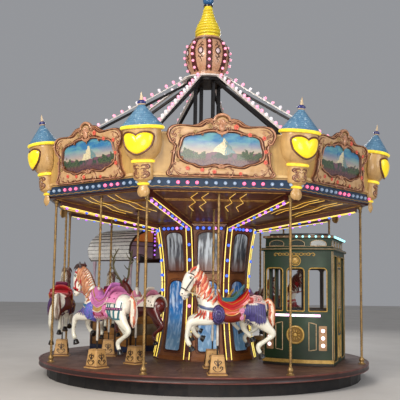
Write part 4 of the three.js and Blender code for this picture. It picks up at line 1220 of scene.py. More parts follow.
# Crown: a moulded tan barrel with eight maroon ribs set with pink lamps, and between them an oval
# stone with painted scrolls. Over it stands a cone wound from yellow rope under a blue finial.
CROWN_FOOT = DECK + 5.24
RIB, SCROLL, STONE = 1, 2, 3
barrel_line = flow([
    (.322, .140), (.352, .18), (.378, .23), (.412, .34), (.43, .46), (.427, .55), (.408, .62), (.37, .7),
    (.325, .756)], 22)
barrel = Form()
barrel.add(lathe(
    [(0, CROWN_FOOT + .0003), (.33, CROWN_FOOT + .0003), (.335, CROWN_FOOT + .012), (.335, CROWN_FOOT + .1),
     (.341, CROWN_FOOT + .106), (.341, CROWN_FOOT + .12), (.322, CROWN_FOOT + .13)]
    + [(r, CROWN_FOOT + z) for r, z in barrel_line]
    + [(.318, CROWN_FOOT + .762), (.318, CROWN_FOOT + .79), (.268, CROWN_FOOT + .80),
       (.266, CROWN_FOOT + .845), (.25, CROWN_FOOT + .8597), (0, CROWN_FOOT + .8597)], 64,
    relief=[1, 1, 1, 1, 1, 1, 0.1] + [1] * 22 + [0.1, 0.2, 0.1, 1, 1, 1]))
tan_barrel = paint("tan_barrel", "cf9f7c", "b58060", scale=5, rough=0.38, bump=0.1, coat=0.35,
                   hollow="4d2313", over=dust_fall)
stone_pink = paint("stone_pink", "e6cfcf", "cfaeb0", scale=30, rough=0.2, coat=0.6)
scroll_brown = paint("scroll_brown", "4f2c1a", "361b10", scale=20, rough=0.4)


def on_barrel(x, z, proud=0.0):
    """A point on the crown's barrel, x measured round it from the facing line."""
    radius = float(np.interp(z, barrel_line[:, 1], barrel_line[:, 0]))
    a = x / radius
    return ((radius + proud) * sin(a), -(radius + proud) * cos(a), CROWN_FOOT + z)


lamps = []
for k in range(8):
    turn, between = to_side(k), to_corner(k)
    for wide, proud, finish in ((.054, .004, RIB), (.06, .001, SCROLL)):
        barrel.add(loft([[on_barrel(-wide, z, proud), on_barrel(wide, z, proud), on_barrel(wide, z, -.006),
                          on_barrel(-wide, z, -.006)] for _, z in barrel_line]), finish, turn)
    for z, lean in ((.20, 28), (.325, 16), (.45, 3), (.575, -12), (.685, -30)):
        lamps.append(turn @ Matrix.Translation(on_barrel(0, z, 0.014)) @ tipped(pi / 2 + radians(lean)))
    oval = [on_barrel(.046 * cos(a), .5 + .062 * sin(a), .004) for a in round_angles(27)]
    barrel.add(sweep(oval, .011, .011, FRONT, 6, True), SCROLL, between)
    dome = [[on_barrel(s * .042 * cos(a), .5 + s * .056 * sin(a), proud)
             for a in round_angles(19)] for s, proud in ((1.0, -.004), (.9, .008), (.6, .016), (.15, .02))]
    barrel.add(loft(dome), STONE, between)
    for way, root in ((1, .575), (-1, .425)):
        tail = flow([(0, root), (.022, root + way * .03), (-.016, root + way * .065),
                     (.014, root + way * .10), (0, root + way * .14)], 22)
        barrel.add(sweep([on_barrel(x, z, .003) for x, z in tail], taper(22, .010, .7, .2), .006, FRONT, 6),
                   SCROLL, between)
        for hand in (-1, 1):
            curl = volute(hand * .03, root + way * .035, .02, -way * pi / 2, .9, hand * way)
            barrel.add(sweep([on_barrel(x, z, .003) for x, z in curl], taper(len(curl), .0065, .5, .5), .005,
                             FRONT, 5), SCROLL, between)
barrel = barrel.piece("crown_barrel_dressed", [tan_barrel, maroon, scroll_brown, stone_pink], crease=40)
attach(barrel, "turntable")
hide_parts("crown_barrel")
crown_lamps = lay_out("crown_bulbs", bulb(0.03), lamps, bulb_blush, unevenness=0.04, seed=14)
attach(crown_lamps, "turntable")

CONE_FOOT = CROWN_FOOT + .8603
cone_line = [(0.0, .226), (.075, .250), (.15, .247), (.26, .207), (.37, .15), (.5, .108), (.64, .085)]
ROPE_R, ROPE_TURNS = 0.0335, 9.2
t = np.linspace(0, 1, 300)
rope_z = ROPE_R + .002 + t * (.64 - 2 * ROPE_R - .004)
rope_away = np.interp(rope_z, [z for z, _ in cone_line], [r for _, r in cone_line]) - ROPE_R + 0.005
rope_angle = t * ROPE_TURNS * 2 * pi
rope_path = np.column_stack([rope_away * np.cos(rope_angle), rope_away * np.sin(rope_angle), CONE_FOOT
                             + rope_z])
rope = Form()
rope.add(sweep(rope_path, ROPE_R, ROPE_R, (0, 0, 1), 10))
rope.add(lathe([(0, CONE_FOOT), (.222, CONE_FOOT), (.225, CONE_FOOT + .08), (.18, CONE_FOOT + .26),
                (.12, CONE_FOOT + .38), (.075, CONE_FOOT + .52), (.078, CONE_FOOT + .6397),
                (0, CONE_FOOT + .6397)], 28))


def rope_underside_shade(tree, place, tint):
    """Olive painted shade on the underside of every turn of the rope."""
    relief = node(tree, "ShaderNodeAttribute", attribute_name="relief")
    low = fade(tree, relief.outputs["Fac"], 0.0, 0.6, 0.75, 0.0)
    return mix(tree, low, tint, ink("9c8716"))


# The rope glows a little: painted light.
rope_yellow = paint("rope_yellow", "f3dd38", "e5c322", scale=8, rough=0.38, coat=0.25, glow=0.12,
                    over=rope_underside_shade)
rope = rope.piece("crown_rope_cone", rope_yellow, crease=60)
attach(rope, "turntable")
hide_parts("crown_cone")

FINIAL_FOOT = CONE_FOOT + .6403
finial = Form()
profile = flow([(.058, .05), (.092, .075), (.106, .11), (.106, .15), (.08, .195), (.055, .215)], 16)
finial.add(lathe([(0, 0), (.09, 0), (.094, .01), (.094, .03), (.086, .04)] + [tuple(p) for p in profile]
                 + [(.03, .23), (.024, .25), (.014, .34), (0, .43)], 36,
                 relief=[.2, .2, .2, .2, .2] + [1] * 16 + [1, 1, 1, 1]), 0, moved_by(0, 0, FINIAL_FOOT))
finial_paint = paint("finial_paint", "34699c", "20507f", scale=12, rough=0.3, coat=0.5, hollow="2d1a17")
finial = finial.piece("crown_finial_turned", finial_paint)
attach(finial, "turntable")
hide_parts("crown_finial")

# Poles: a steel rod slides in each pedestal, white above the black socket, and carries a drawn brass
# twist that runs up through the ceiling. Each rises and falls with its animal.
PEDESTAL_ROD_R, POLE_R = 0.012, 0.02
rod_white = paint("rod_white", "d8d2c6", "b9b1a2", scale=12, rough=0.35, metal=0.2)
rod_black = paint("rod_black", "191716", "2b2725", scale=12, rough=0.4, metal=0.5)


def animal_pole(name, place):
    """The rod in its pedestal, the sleeve on it, the collar in the saddle and the brass twist."""
    rod = Form()
    for finish, steps, profile in (
            (1, 16, ((0, 0.15), (PEDESTAL_ROD_R, 0.15), (PEDESTAL_ROD_R, 0.435), (0, 0.435))),
            (0, 16, ((0, 0.42), (0.016, 0.425), (POLE_R, 0.435), (POLE_R, 0.60), (0.017, 0.62),
                     (0.0165, 0.84), (0, 0.84))),
            (0, 20, ((0, 1.05), (0.036, 1.05), (0.034, 1.2), (0.03, 1.235), (0.036, 1.25), (0.034, 1.262),
                     (0.021, 1.27), (0, 1.27)))):
        rod.add(lathe([(r, DECK + z) for r, z in profile], steps), finish)
    twist = twisted_bar("bar", DECK + 1.255, DECK + 3.02, 0.0195, place, groove=0.16, lobes=2.0, pitch=0.16,
                        step=0.016)
    return joined(name, [twist, rod.piece("rod", [rod_white, rod_black], place, 40)])


# Animals: hollow glass-fibre castings, white or red-brown, clamped to their poles. Saddles, cloths,
# fringes, manes and tails are cast on, and brushed in bright gloss colours with gilt edges.
TRUNK = [
    (0.755, 1.0, 0.03, 0.03), (0.725, 1.0, 0.10, 0.09), (0.66, 0.995, 0.155, 0.145),
    (0.58, 0.985, 0.18, 0.178),
    (0.47, 0.965, 0.182, 0.186), (0.35, 0.945, 0.168, 0.18), (0.23, 0.93, 0.152, 0.174),
    (0.12, 0.918, 0.158, 0.176),
    (0.02, 0.91, 0.172, 0.18), (-0.08, 0.925, 0.185, 0.172), (-0.17, 0.96, 0.18, 0.145),
    (-0.235, 0.985, 0.14, 0.105), (-0.272, 1.0, 0.07, 0.05)]
NECKS = {
    "raised": [(-0.06, 1.0, 0.17, 0.13), (-0.135, 1.1, 0.135, 0.105), (-0.18, 1.21, 0.115, 0.085),
               (-0.215, 1.32, 0.10, 0.072), (-0.262, 1.42, 0.092, 0.064), (-0.32, 1.485, 0.075, 0.058)],
    "arched": [(-0.06, 1.0, 0.17, 0.13), (-0.15, 1.1, 0.14, 0.105), (-0.215, 1.22, 0.122, 0.086),
               (-0.275, 1.34, 0.112, 0.074), (-0.335, 1.45, 0.102, 0.066), (-0.415, 1.525, 0.08, 0.056)],
    "lowered": [(-0.06, 1.0, 0.17, 0.13), (-0.135, 1.07, 0.155, 0.115), (-0.20, 1.15, 0.135, 0.095),
                (-0.265, 1.25, 0.112, 0.075), (-0.325, 1.34, 0.095, 0.064), (-0.37, 1.39, 0.075, 0.056)]}
HEADS = {
    "raised": [(-0.315, 1.51, 0.055, 0.05), (-0.355, 1.49, 0.09, 0.066), (-0.41, 1.448, 0.105, 0.073),
               (-0.455, 1.385, 0.09, 0.066), (-0.492, 1.31, 0.063, 0.052), (-0.525, 1.235, 0.051, 0.043),
               (-0.55, 1.185, 0.042, 0.04), (-0.562, 1.158, 0.016, 0.022)],
    "arched": [(-0.40, 1.55, 0.055, 0.05), (-0.445, 1.52, 0.088, 0.066), (-0.495, 1.455, 0.10, 0.073),
               (-0.53, 1.38, 0.088, 0.066), (-0.545, 1.29, 0.066, 0.054), (-0.55, 1.205, 0.056, 0.046),
               (-0.55, 1.14, 0.048, 0.042), (-0.545, 1.108, 0.018, 0.022)],
    "lowered": [(-0.345, 1.40, 0.055, 0.05), (-0.385, 1.395, 0.085, 0.062), (-0.44, 1.365, 0.092, 0.066),
                (-0.50, 1.32, 0.08, 0.06), (-0.555, 1.275, 0.06, 0.05), (-0.60, 1.245, 0.05, 0.044),
                (-0.632, 1.222, 0.044, 0.042), (-0.648, 1.212, 0.018, 0.024)]}
JAWS = {
    "raised": [(-0.385, 1.37, 0.03, 0.04), (-0.425, 1.30, 0.036, 0.036), (-0.462, 1.23, 0.028, 0.03),
               (-0.49, 1.165, 0.018, 0.024)],
    "arched": [(-0.45, 1.42, 0.03, 0.04), (-0.465, 1.32, 0.036, 0.036), (-0.482, 1.22, 0.028, 0.03),
               (-0.492, 1.145, 0.018, 0.024)],
    "lowered": [(-0.40, 1.30, 0.03, 0.04), (-0.455, 1.255, 0.034, 0.036), (-0.515, 1.215, 0.028, 0.03),
                (-0.57, 1.19, 0.018, 0.024)]}
LEGS = [
    [(0.02, 0.93, 0.13, 0.06, -0.085), (-0.10, 0.85, 0.11, 0.068, -0.10), (-0.24, 0.815, 0.085, 0.06,
                                                                           -0.105),
     (-0.36, 0.795, 0.064, 0.05, -0.105), (-0.43, 0.755, 0.056, 0.047, -0.105), (-0.455, 0.67, 0.04, 0.036,
                                                                                 -0.105),
     (-0.472, 0.575, 0.033, 0.031, -0.105), (-0.465, 0.515, 0.037, 0.034, -0.105), (-0.44, 0.468, 0.04,
                                                                                    0.038, -0.105),
     (-0.418, 0.432, 0.033, 0.033, -0.105)],
    [(0.02, 0.92, 0.13, 0.06, 0.085), (-0.08, 0.84, 0.11, 0.068, 0.10), (-0.20, 0.80, 0.085, 0.06, 0.105),
     (-0.315, 0.77, 0.06, 0.048, 0.105), (-0.375, 0.725, 0.052, 0.045, 0.105), (-0.362, 0.65, 0.038,
                                                                                0.035, 0.105),
     (-0.325, 0.59, 0.034, 0.032, 0.105), (-0.285, 0.56, 0.038, 0.036, 0.105), (-0.26, 0.545, 0.033, 0.033,
                                                                                0.105)],
    [(0.50, 0.99, 0.16, 0.08, -0.075), (0.57, 0.90, 0.15, 0.088, -0.095), (0.655, 0.79, 0.11, 0.072, -0.105),
     (0.745, 0.70, 0.072, 0.054, -0.11), (0.825, 0.628, 0.052, 0.044, -0.11), (0.80, 0.575, 0.042,
                                                                               0.036, -0.11),
     (0.70, 0.505, 0.034, 0.032, -0.11), (0.62, 0.452, 0.041, 0.037, -0.11), (0.60, 0.405, 0.034,
                                                                              0.033, -0.11),
     (0.622, 0.355, 0.034, 0.034, -0.11), (0.64, 0.33, 0.034, 0.034, -0.11)],
    [(0.50, 0.99, 0.15, 0.08, 0.075), (0.465, 0.88, 0.13, 0.085, 0.095), (0.425, 0.79, 0.09, 0.066, 0.105),
     (0.405, 0.715, 0.055, 0.048, 0.11), (0.43, 0.655, 0.042, 0.038, 0.11), (0.475, 0.605, 0.034,
                                                                             0.032, 0.11),
     (0.51, 0.572, 0.037, 0.035, 0.11), (0.525, 0.553, 0.032, 0.032, 0.11)]]
HOOVES = [((-0.41, 0.42), (-0.385, 0.358), -0.105), ((-0.25, 0.54), (-0.195, 0.515), 0.105),
          ((0.645, 0.318), (0.668, 0.258), -0.11), ((0.535, 0.545), (0.56, 0.49), 0.11)]


def limb(stations, sides=14):
    """A rounded limb through stations of (x, height, half depth, half width) and a shift across."""
    rows = [[*station, 0.0] if len(station) == 4 else list(station) for station in stations]
    run = flow(rows, (len(rows) - 1) * 4 + 1)
    return sweep(run[:, (0, 4, 1)], np.maximum(run[:, 2], 0.002), np.maximum(run[:, 3], 0.002),
                 (0, 1, 0), sides)


def cast_body(head):
    """The smooth shell of a jumping animal, facing -X, its pole at the origin."""
    form = Form()
    for stations in (TRUNK, NECKS[head], HEADS[head], JAWS[head], *LEGS):
        form.add(limb(stations))
    raw = form.piece("raw_casting", dark_steel)
    shell = raw.modifiers.new("skin", "REMESH")
    shell.mode = "VOXEL"
    shell.voxel_size = 0.0115
    eased = raw.modifiers.new("ease", "SMOOTH")
    eased.factor = 0.6
    eased.iterations = 7
    lighter = raw.modifiers.new("lighter", "DECIMATE")
    lighter.ratio = 0.24
    mesh = final_mesh(raw)
    bpy.data.objects.remove(raw)
    points = [v.co.copy() for v in mesh.vertices]
    faces = [list(p.vertices) for p in mesh.polygons]
    return (np.array(points), faces, np.ones(len(points))), BVHTree.FromPolygons(points, faces)


TRUNK_Z, CHEST_X = 0.93, -0.06
castings = {head: cast_body(head) for head in HEADS}
painted_finishes = {}


def painted(code, **more):
    """One gloss paint for every colour used on the animals."""
    if code not in painted_finishes:
        settings = dict(scale=9, rough=0.32, bump=0.1, coat=0.3)
        settings.update(more)
        painted_finishes[code] = paint(f"gloss_{code}", code, **settings)
    return painted_finishes[code]


def in_turn(colours, n):
    return colours[n % len(colours)]


def leaning(a):
    """Straight up, leant a degrees towards the far side."""
    return Vector((0, sin(radians(a)), cos(radians(a))))


class Harness:
    """Lays straps, cloths and locks on a casting. Sides are -1 for the crowd's side, 1 for the far one."""

    def __init__(self, head, coat):
        self.head = head
        self.body, self.skin = castings[head]
        self.form = Form().add(self.body)
        self.colours = [coat]

    def finish(self, code, **more):
        key = painted(code, **more)
        if key not in self.colours:
            self.colours.append(key)
        return self.colours.index(key)

    def at(self, x, z, side, proud=0.004):
        hit = self.skin.ray_cast(Vector((x, side * 0.6, z)), Vector((0, -side, 0)))[0]
        y = hit.y if hit else side * 0.02
        return (x, y + side * proud, z)

    def seen_from(self, middle, out, miss, proud):
        """Where the skin lies on a line that comes in to a middle, or a usual distance if it is missed."""
        hit = self.skin.ray_cast(middle + out * 0.7, -out)[0]
        return tuple((hit or middle + out * miss) + out * proud)

    def along(self, points, side, proud=0.004):
        return [self.at(x, z, side, proud) for x, z in points]

    def over(self, x, a, proud=0.004):
        """On the back, a degrees round from the top towards the far side."""
        return self.seen_from(Vector((x, 0, TRUNK_Z)), leaning(a), 0.16, proud)

    def round_chest(self, a, z, proud=0.004):
        """Round the chest, a degrees from straight ahead towards the far side."""
        return self.seen_from(Vector((CHEST_X, 0, z)), Vector((-cos(radians(a)), sin(radians(a)), 0)),
                              0.15, proud)

    def strap(self, path, wide, colour, thick=0.006, level=False, count=None):
        """A flat strap, its width across the flank, or upright where it runs level round the chest."""
        path = flow(path, count or len(path) * 2)
        body = sweep(path, thick, wide, (0, 0, 1), 6) if level else sweep(path, wide, thick, FRONT, 6)
        self.form.add(body, self.finish(colour))

    def cloth(self, rows, colour, thick=0.008, **more):
        """A cast cloth: rows of points over the body, thick outwards from the pole's line."""
        rings = []
        for row in rows:
            row = np.asarray(row, float)
            out = row - np.array([0, 0, TRUNK_Z])
            out[:, 0] = 0
            out /= np.maximum(np.linalg.norm(out, axis=1, keepdims=True), 1e-6)
            rings.append(np.concatenate([row + out * thick, (row - out * thick)[::-1]]))
        count = len(rings[0]) // 2
        own = np.tile(np.concatenate([np.ones(count), np.full(count, 0.4)]), len(rings))
        self.form.add(loft(rings, relief=own), self.finish(colour, **more))

    def patch(self, side, xs, tops, lows, colour, proud, thick=0.005, count=8):
        """A cloth on the flank between two edges."""
        self.cloth([[self.at(x, z, side, proud) for z in np.linspace(top, low, count)]
                    for x, top, low in zip(xs, tops, lows)], colour, thick)

    def lock(self, path, thick, colour, flat=0.55, count=9, up=FRONT):
        path = flow(path, count)
        t = np.linspace(0, 1, count)
        wide = thick * (0.55 + 0.9 * np.sin(t * pi * 0.8)) * (1 - t**4) + 0.0015
        # The dark red-brown hollow tint on each lock's side away from up is painted shade.
        self.form.add(sweep(path, wide, wide * flat, up, 5), self.finish(colour, hollow="5e2413"))

    def boss(self, x, z, side, profile, colour, turn=12, proud=0.0, **more):
        """A turned knob standing out of the flank."""
        stand = Matrix.Translation(self.at(x, z, side, proud)) @ tipped(side * -pi / 2)
        self.form.add(lathe(profile, turn), self.finish(colour, **more), stand)

    def stud(self, spot, a, profile, turn, colour):
        """A small turned dot on the back, where the skin leans a degrees."""
        stand = Matrix.Translation(spot) @ leaning(a).to_track_quat("Z", "Y").to_matrix().to_4x4()
        self.form.add(lathe(profile, turn), self.finish(colour), stand)

    def rosette(self, x, z, side, size, colour):
        for petal in range(7):
            a = petal * 2 * pi / 7
            self.boss(x + size * 0.62 * cos(a), z + size * 0.62 * sin(a), side,
                      [(0, -0.008), (size * 0.4, -0.004), (size * 0.44, 0.02), (0, 0.03)], colour, 6)
        self.boss(x, z, side, [(0, -0.008), (size * 0.4, -0.004), (size * 0.36, 0.032), (0, 0.038)],
                  colour, 8)


def blush(tree, place, tint):
    """Grey-green mixed in below the trunk's middle, more the lower the point, most down the legs."""
    drawn = node(tree, "ShaderNodeAttribute", attribute_name="drawn").outputs["Vector"]
    low = parts_of(tree, drawn)[2]
    share = fade(tree, low, 0.95, 0.5, 0.0, 0.4)
    return mix(tree, share, tint, ink("b3b8a0"))


coat_white = paint("coat_white", "eee7da", "dcd4c2", scale=5, rough=0.3, bump=0.08, coat=0.4, over=blush)
coat_brown = paint("coat_brown", "5f1712", "430e0c", scale=5, rough=0.3, bump=0.08, coat=0.4)
GOLD = "b98d35"


def cast_features(kit, look):
    """Hooves, eyes, nostrils and ears."""
    for (x1, z1), (x2, z2), y in HOOVES:
        kit.form.add(limb([(x1, z1, 0.034, 0.034, y), ((x1 + x2) / 2, (z1 + z2) / 2, 0.046, 0.044, y),
                           (x2, z2, 0.052, 0.05, y),
                           (x2 + (x2 - x1) * 0.08, z2 + (z2 - z1) * 0.08, 0.046, 0.045, y)], 12),
                     kit.finish("120e0d", rough=0.3))
    line = HEADS[kit.head]
    crown, brow, nose = line[0], line[2], line[6]
    for s in (-1, 1):
        eye_x, eye_z = brow[0] - 0.012, brow[1] - 0.012
        kit.boss(eye_x, eye_z, s, [(0, -0.012), (0.024, -0.004), (0.026, 0.001), (0.018, 0.007), (0, 0.01)],
                 look["white"], 14, -0.004)
        kit.boss(eye_x, eye_z, s, [(0, -0.01), (0.016, -0.004), (0.017, 0.006), (0.012, 0.012), (0, 0.015)],
                 "0e3320", 14, -0.002, rough=0.12)
        lid = [kit.at(eye_x + 0.03 * cos(a), eye_z + 0.004 + 0.022 * sin(a), s, 0.003)
               for a in np.linspace(0.1, 3.0, 8)]
        kit.strap(lid, 0.005, look["lid"], 0.006)
        kit.boss(nose[0] + 0.004, nose[1] + 0.012, s, [(0, -0.004), (0.011, -0.002), (0.012, 0.002),
                                                       (0, 0.004)], "3a1713", 10)
        lean = {"raised": 0.02, "arched": -0.01, "lowered": 0.05}[kit.head]
        x, z = crown[0] - 0.015, crown[1] + 0.045
        ear = limb([(x, z - 0.04, 0.022, 0.026, s * 0.042), (x + lean * 0.4, z + 0.01, 0.026, 0.024,
                                                             s * 0.048),
                    (x + lean, z + 0.055, 0.018, 0.014, s * 0.052), (x + lean * 1.3, z + 0.09, 0.003, 0.003,
                                                                     s * 0.05)], 10)
        kit.form.add(ear, kit.finish(look["ear"]) if look["ear"] else 0)


def bridle(kit, look):
    """Cheek, nose and brow straps, the rosettes that join them, a tassel and the reins."""
    line, jaw = HEADS[kit.head], JAWS[kit.head]
    brow, cheek, muzzle = line[2], line[3], line[5]
    wide = look["bridle_wide"]
    for s in (-1, 1):
        for marks in (
                ((line[1], 0.04, 0.02), (cheek, 0.05, 0.01), (cheek, 0.005, -0.06), (muzzle, 0.03, 0.02)),
                ((muzzle, -0.035, 0.055), (muzzle, -0.005, 0.04), (jaw[2], 0.01, 0.0)),
                ((brow, -0.05, 0.06), (brow, 0.0, 0.05), (brow, 0.06, 0.02))):
            kit.strap(kit.along([(mark[0] + dx, mark[1] + dz) for mark, dx, dz in marks], s), wide,
                      look["bridle"])
        kit.rosette(cheek[0] + 0.15, cheek[1] - 0.015, s, 0.048, look["rosette"])
        kit.strap([kit.at(cheek[0] + 0.15, cheek[1] - 0.04, s, 0.018), kit.at(cheek[0] + 0.15, cheek[1]
                                                                              - 0.09, s, 0.02)],
                  0.02, look["rosette"], 0.012)
        kit.rosette(muzzle[0] + 0.03, muzzle[1] + 0.015, s, 0.016, "3a231a")
        kit.strap([kit.at(muzzle[0] + 0.045, muzzle[1], s, 0.01), kit.at(-0.30, 1.17, s, 0.02),
                   kit.at(-0.14, 1.10, s, 0.012),
                   kit.at(-0.03, 1.10, s, 0.008)], 0.007, look["rein"], 0.006)


def mane_and_tail(kit, look, rng):
    """Locks in two layers down both sides of the neck, the forelock and the tail."""
    line, neck = HEADS[kit.head], NECKS[kit.head]
    crest = flow([(line[0][0] - 0.02, line[0][1] + 0.055)] + [(x + 0.62 * d, z + 0.62 * d) for x, z, d,
                                                              _ in neck[::-1][:4]] + [(0.0, 1.10)], 16)
    for s in (-1, 1):
        for layer, share in ((0, 1.0), (1, 0.62)):
            for n, (x, z) in enumerate(crest[:-1]):
                f = n / 14
                ahead = (0.02 + 0.105 * sin(min(f * 1.35, 1) * pi * 0.8)) * share * rng.uniform(0.85, 1.15)
                fall = (0.13 + 0.17 * sin(pi * min(f + 0.1, 1))) * share * rng.uniform(0.85, 1.15)
                phase = rng.uniform(0, 2 * pi)
                drop = [(x + 0.008, s * 0.010, z + 0.018)]
                for t in np.linspace(0.16, 1, 7):
                    wave = 0.017 * sin(t * 9 + phase) * t
                    drop.append(kit.at(x - ahead * t + wave, z - fall * t, s, 0.010 + 0.007 * layer + 0.003
                                       * sin(n * 2.1)))
                kit.lock(drop, rng.uniform(0.015, 0.019), in_turn(look["mane"], n + layer), 0.6)
    x, z = line[0][0] - 0.01, line[0][1] + 0.055
    for n in range(7):
        y = (n - 3) * 0.015
        kit.lock([(x + 0.04, y, z + 0.005), (x - 0.02, y * 1.3, z + 0.03), (x - 0.075, y * 1.8, z + 0.002),
                  (x - 0.115, y * 2.2, z - 0.06 - 0.012 * (n % 2))], 0.016, in_turn(look["forelock"],
                                                                                    n), 0.7, 8)
    for n in range(14):
        a = n / 14 * 2 * pi
        dy, dx = 0.024 * cos(a), 0.022 * sin(a)
        sway = rng.uniform(-0.014, 0.014)
        kit.lock([(0.70, dy * 0.5, 1.06 + dx * 0.3), (0.765, dy * 0.8, 1.11 + dx), (0.812 + dx, dy, 1.06),
                  (0.828 + dx * 1.3, dy * 1.5, 0.96),
                  (0.812 + dx * 1.6 + sway, dy * 2.0 + sway, 0.85), (0.83 + dx * 1.3 - sway, dy * 1.7, 0.75),
                  (0.815 + dx * 0.6 + sway, dy * 0.9, 0.66 + 0.02 * (n % 3))],
                 0.019, in_turn(look["tail"], n), 0.75, 13)


def saddle(kit, look):
    """The tree with its two upturned ends, the seat raised behind and the gilt edge."""
    stations = np.linspace(-0.02, 0.455, 17)
    lift = np.array([0.012 + 1.15 * abs((x - 0.2) / 0.25) ** 2.6 * 0.085 for x in stations])
    skirt = np.interp(stations, [-0.02, 0.06, 0.2, 0.36, 0.455], [46, 66, 84, 66, 48])

    def edge(s, back, proud):
        return [kit.over(x, s * (reach - back), proud + up * cos(radians(reach - back)) ** 2)
                for x, up, reach in zip(stations, lift, skirt)]

    kit.cloth([[kit.over(x, a, 0.022 + up * cos(radians(a)) ** 2) for a in np.linspace(-reach, reach, 17)]
               for x, up, reach in zip(stations, lift, skirt)], look["saddle"], 0.016)
    for s in (-1, 1):
        kit.strap(edge(s, 0, 0.03), 0.007, look["edge"], 0.008, count=24)
        kit.strap(edge(s, 15, 0.04), 0.013, look["saddle"], 0.016, count=24)
        kit.strap(edge(s, 30, 0.04), 0.006, GOLD, 0.01, count=24)
    kit.cloth([[kit.over(x, a, 0.05 + max(x - 0.25, 0) * 1.0 + 0.012 * cos(radians(a * 2)))
                for a in np.linspace(-1, 1, 13) * np.interp(x, [0.2, 0.395], [38, 14])]
               for x in np.linspace(0.045, 0.395, 15)], look["seat"], 0.015)


def flanks(kit, look):
    """Flap, cloth with its fringe, rosettes, breast strap with hanging panels and the fringed medallion."""
    for s in (-1, 1):
        xs = np.linspace(0.02, 0.36, 15)
        bow = np.linspace(-1, 1, 15) ** 2
        kit.patch(s, xs, np.full(15, 1.0), 0.80 + 0.05 * bow, look["cloth"], 0.006)
        kit.patch(s, np.linspace(0.05, 0.32, 15), np.full(15, 1.03), 0.885 + 0.06 * bow, look["flap"], 0.014)
        kit.strap([kit.at(x, low, s, 0.02) for x, low in zip(np.linspace(0.05, 0.32, 15), 0.885 + 0.06
                                                             * bow)], 0.007, look["edge"], 0.006)
        for n, x in enumerate(np.linspace(0.03, 0.35, 17)):
            z = 0.80 + 0.05 * abs((x - 0.19) / 0.17) ** 2
            kit.lock([kit.at(x, z + 0.012, s, 0.008), kit.at(x, z - 0.012, s, 0.010),
                      kit.at(x + 0.002, z - 0.034, s, 0.012)], 0.0105,
                     in_turn(look["fringe"], n), 0.6, 4)
        kit.rosette(0.345, 0.96, s, 0.046, look["bows"])
        kit.rosette(0.352, 0.845, s, 0.036, look["bows"])
        kit.strap([kit.at(0.345, 0.93, s, 0.01), kit.at(0.35, 0.87, s, 0.01)], 0.012, look["bows"], 0.008)
        for z, wide, colour in ((1.02, 0.026, look["breast"]), (1.046, 0.007, "e6dccb"),
                                (0.995, 0.006, "e6dccb")):
            kit.strap([kit.round_chest(s * a, z - 0.05 * sin(radians(a)), 0.008)
                       for a in np.linspace(0, 118, 12)], wide, colour, 0.007, level=True)
        for n, a in enumerate(np.linspace(4, 88, 9)):
            z = 0.985 - 0.05 * sin(radians(a))
            out = (-cos(radians(a)), s * sin(radians(a)), 0)
            panel = [kit.round_chest(s * a, z - d, 0.011) for d in (0, 0.045, 0.09, 0.13)]
            kit.lock(panel, 0.021 if n % 3 else 0.012, in_turn(look["panels"], n), 0.4, 6, up=out)
        medallion(kit, look, s)


def medallion(kit, look, s):
    """An oval shield at the girth with two rows of fringe and two beads."""
    cx, cz, rx, rz = -0.005, 0.893, 0.098, 0.15
    rings = []
    for share, proud in ((1.0, 0.002), (0.98, 0.02), (0.85, 0.034), (0.5, 0.042), (0.1, 0.044)):
        rings.append([kit.at(cx + share * rx * cos(a), cz + share * rz * sin(a), s, proud)
                      for a in round_angles(28)])
    kit.form.add(loft(rings), kit.finish(look["medal"][0]))
    for share, count in ((0.62, 18), (1.02, 25)):
        for n in range(count):
            a = n / count * 2 * pi + share
            x1, z1 = cx + (share - 0.42) * rx * cos(a), cz + (share - 0.42) * rz * sin(a)
            x2, z2 = cx + (share + 0.04) * rx * cos(a), cz + (share + 0.06) * rz * sin(a) - 0.012
            kit.lock([kit.at(x1, z1, s, 0.046 - 0.012 * share), kit.at((x1 + x2) / 2, (z1 + z2) / 2, s,
                                                                       0.05 - 0.014 * share),
                      kit.at(x2, z2, s, 0.026 - 0.014 * share)], 0.0085, in_turn(look["medal"], n), 0.8, 4)
    for share in (0.48, 0.8):
        oval = [kit.at(cx + share * rx * cos(a), cz + share * rz * sin(a), s, 0.05 - 0.014 * share)
                for a in np.linspace(0, 2 * pi, 24)]
        kit.strap(oval, 0.004, look["medal_edge"], 0.004, count=24)


def rump_top(x):
    """Height of the rear cloth's upper edge."""
    return 1.05 + 0.03 * sin((x - 0.40) / 0.30 * pi)


def back_cloth(kit, look):
    """The part of the rear cloth that lies over the back."""
    kit.cloth([[kit.over(x, a, 0.006) for a in np.linspace(-58, 58, 15)] for x in np.linspace(0.44,
                                                                                              0.64, 9)],
              look["back_cloth"], 0.006)


def fringed_rump(kit, look):
    """A long fringe hung over each haunch from a pale border."""
    for s in (-1, 1):
        for n, x in enumerate(np.linspace(0.39, 0.70, 27)):
            bow = sin((x - 0.39) / 0.31 * pi)
            top, low = rump_top(x) - 0.005, 0.765 - 0.04 * bow + 0.014 * ((n * 7) % 3)
            kit.lock([kit.at(x, top, s, 0.010), kit.at(x, (top + low) / 2, s, 0.016),
                      kit.at(x + (x - 0.55) * 0.1, low, s, 0.012)],
                     0.0115, in_turn(look["rump"], n), 0.75, 8)
        xs = np.linspace(0.395, 0.70, 11)
        kit.patch(s, xs, [rump_top(x) for x in xs], np.full(11, 0.80), look["rump"][0], 0.004, 0.004, 7)
        kit.strap([kit.at(x, rump_top(x) + 0.006, s, 0.014) for x in np.linspace(0.39, 0.705, 11)], 0.014,
                  look["border"], 0.01)
        kit.strap([kit.at(0.392, z, s, 0.014) for z in np.linspace(1.05, 0.79, 6)], 0.008,
                  look["edge"], 0.008)
    back_cloth(kit, look)


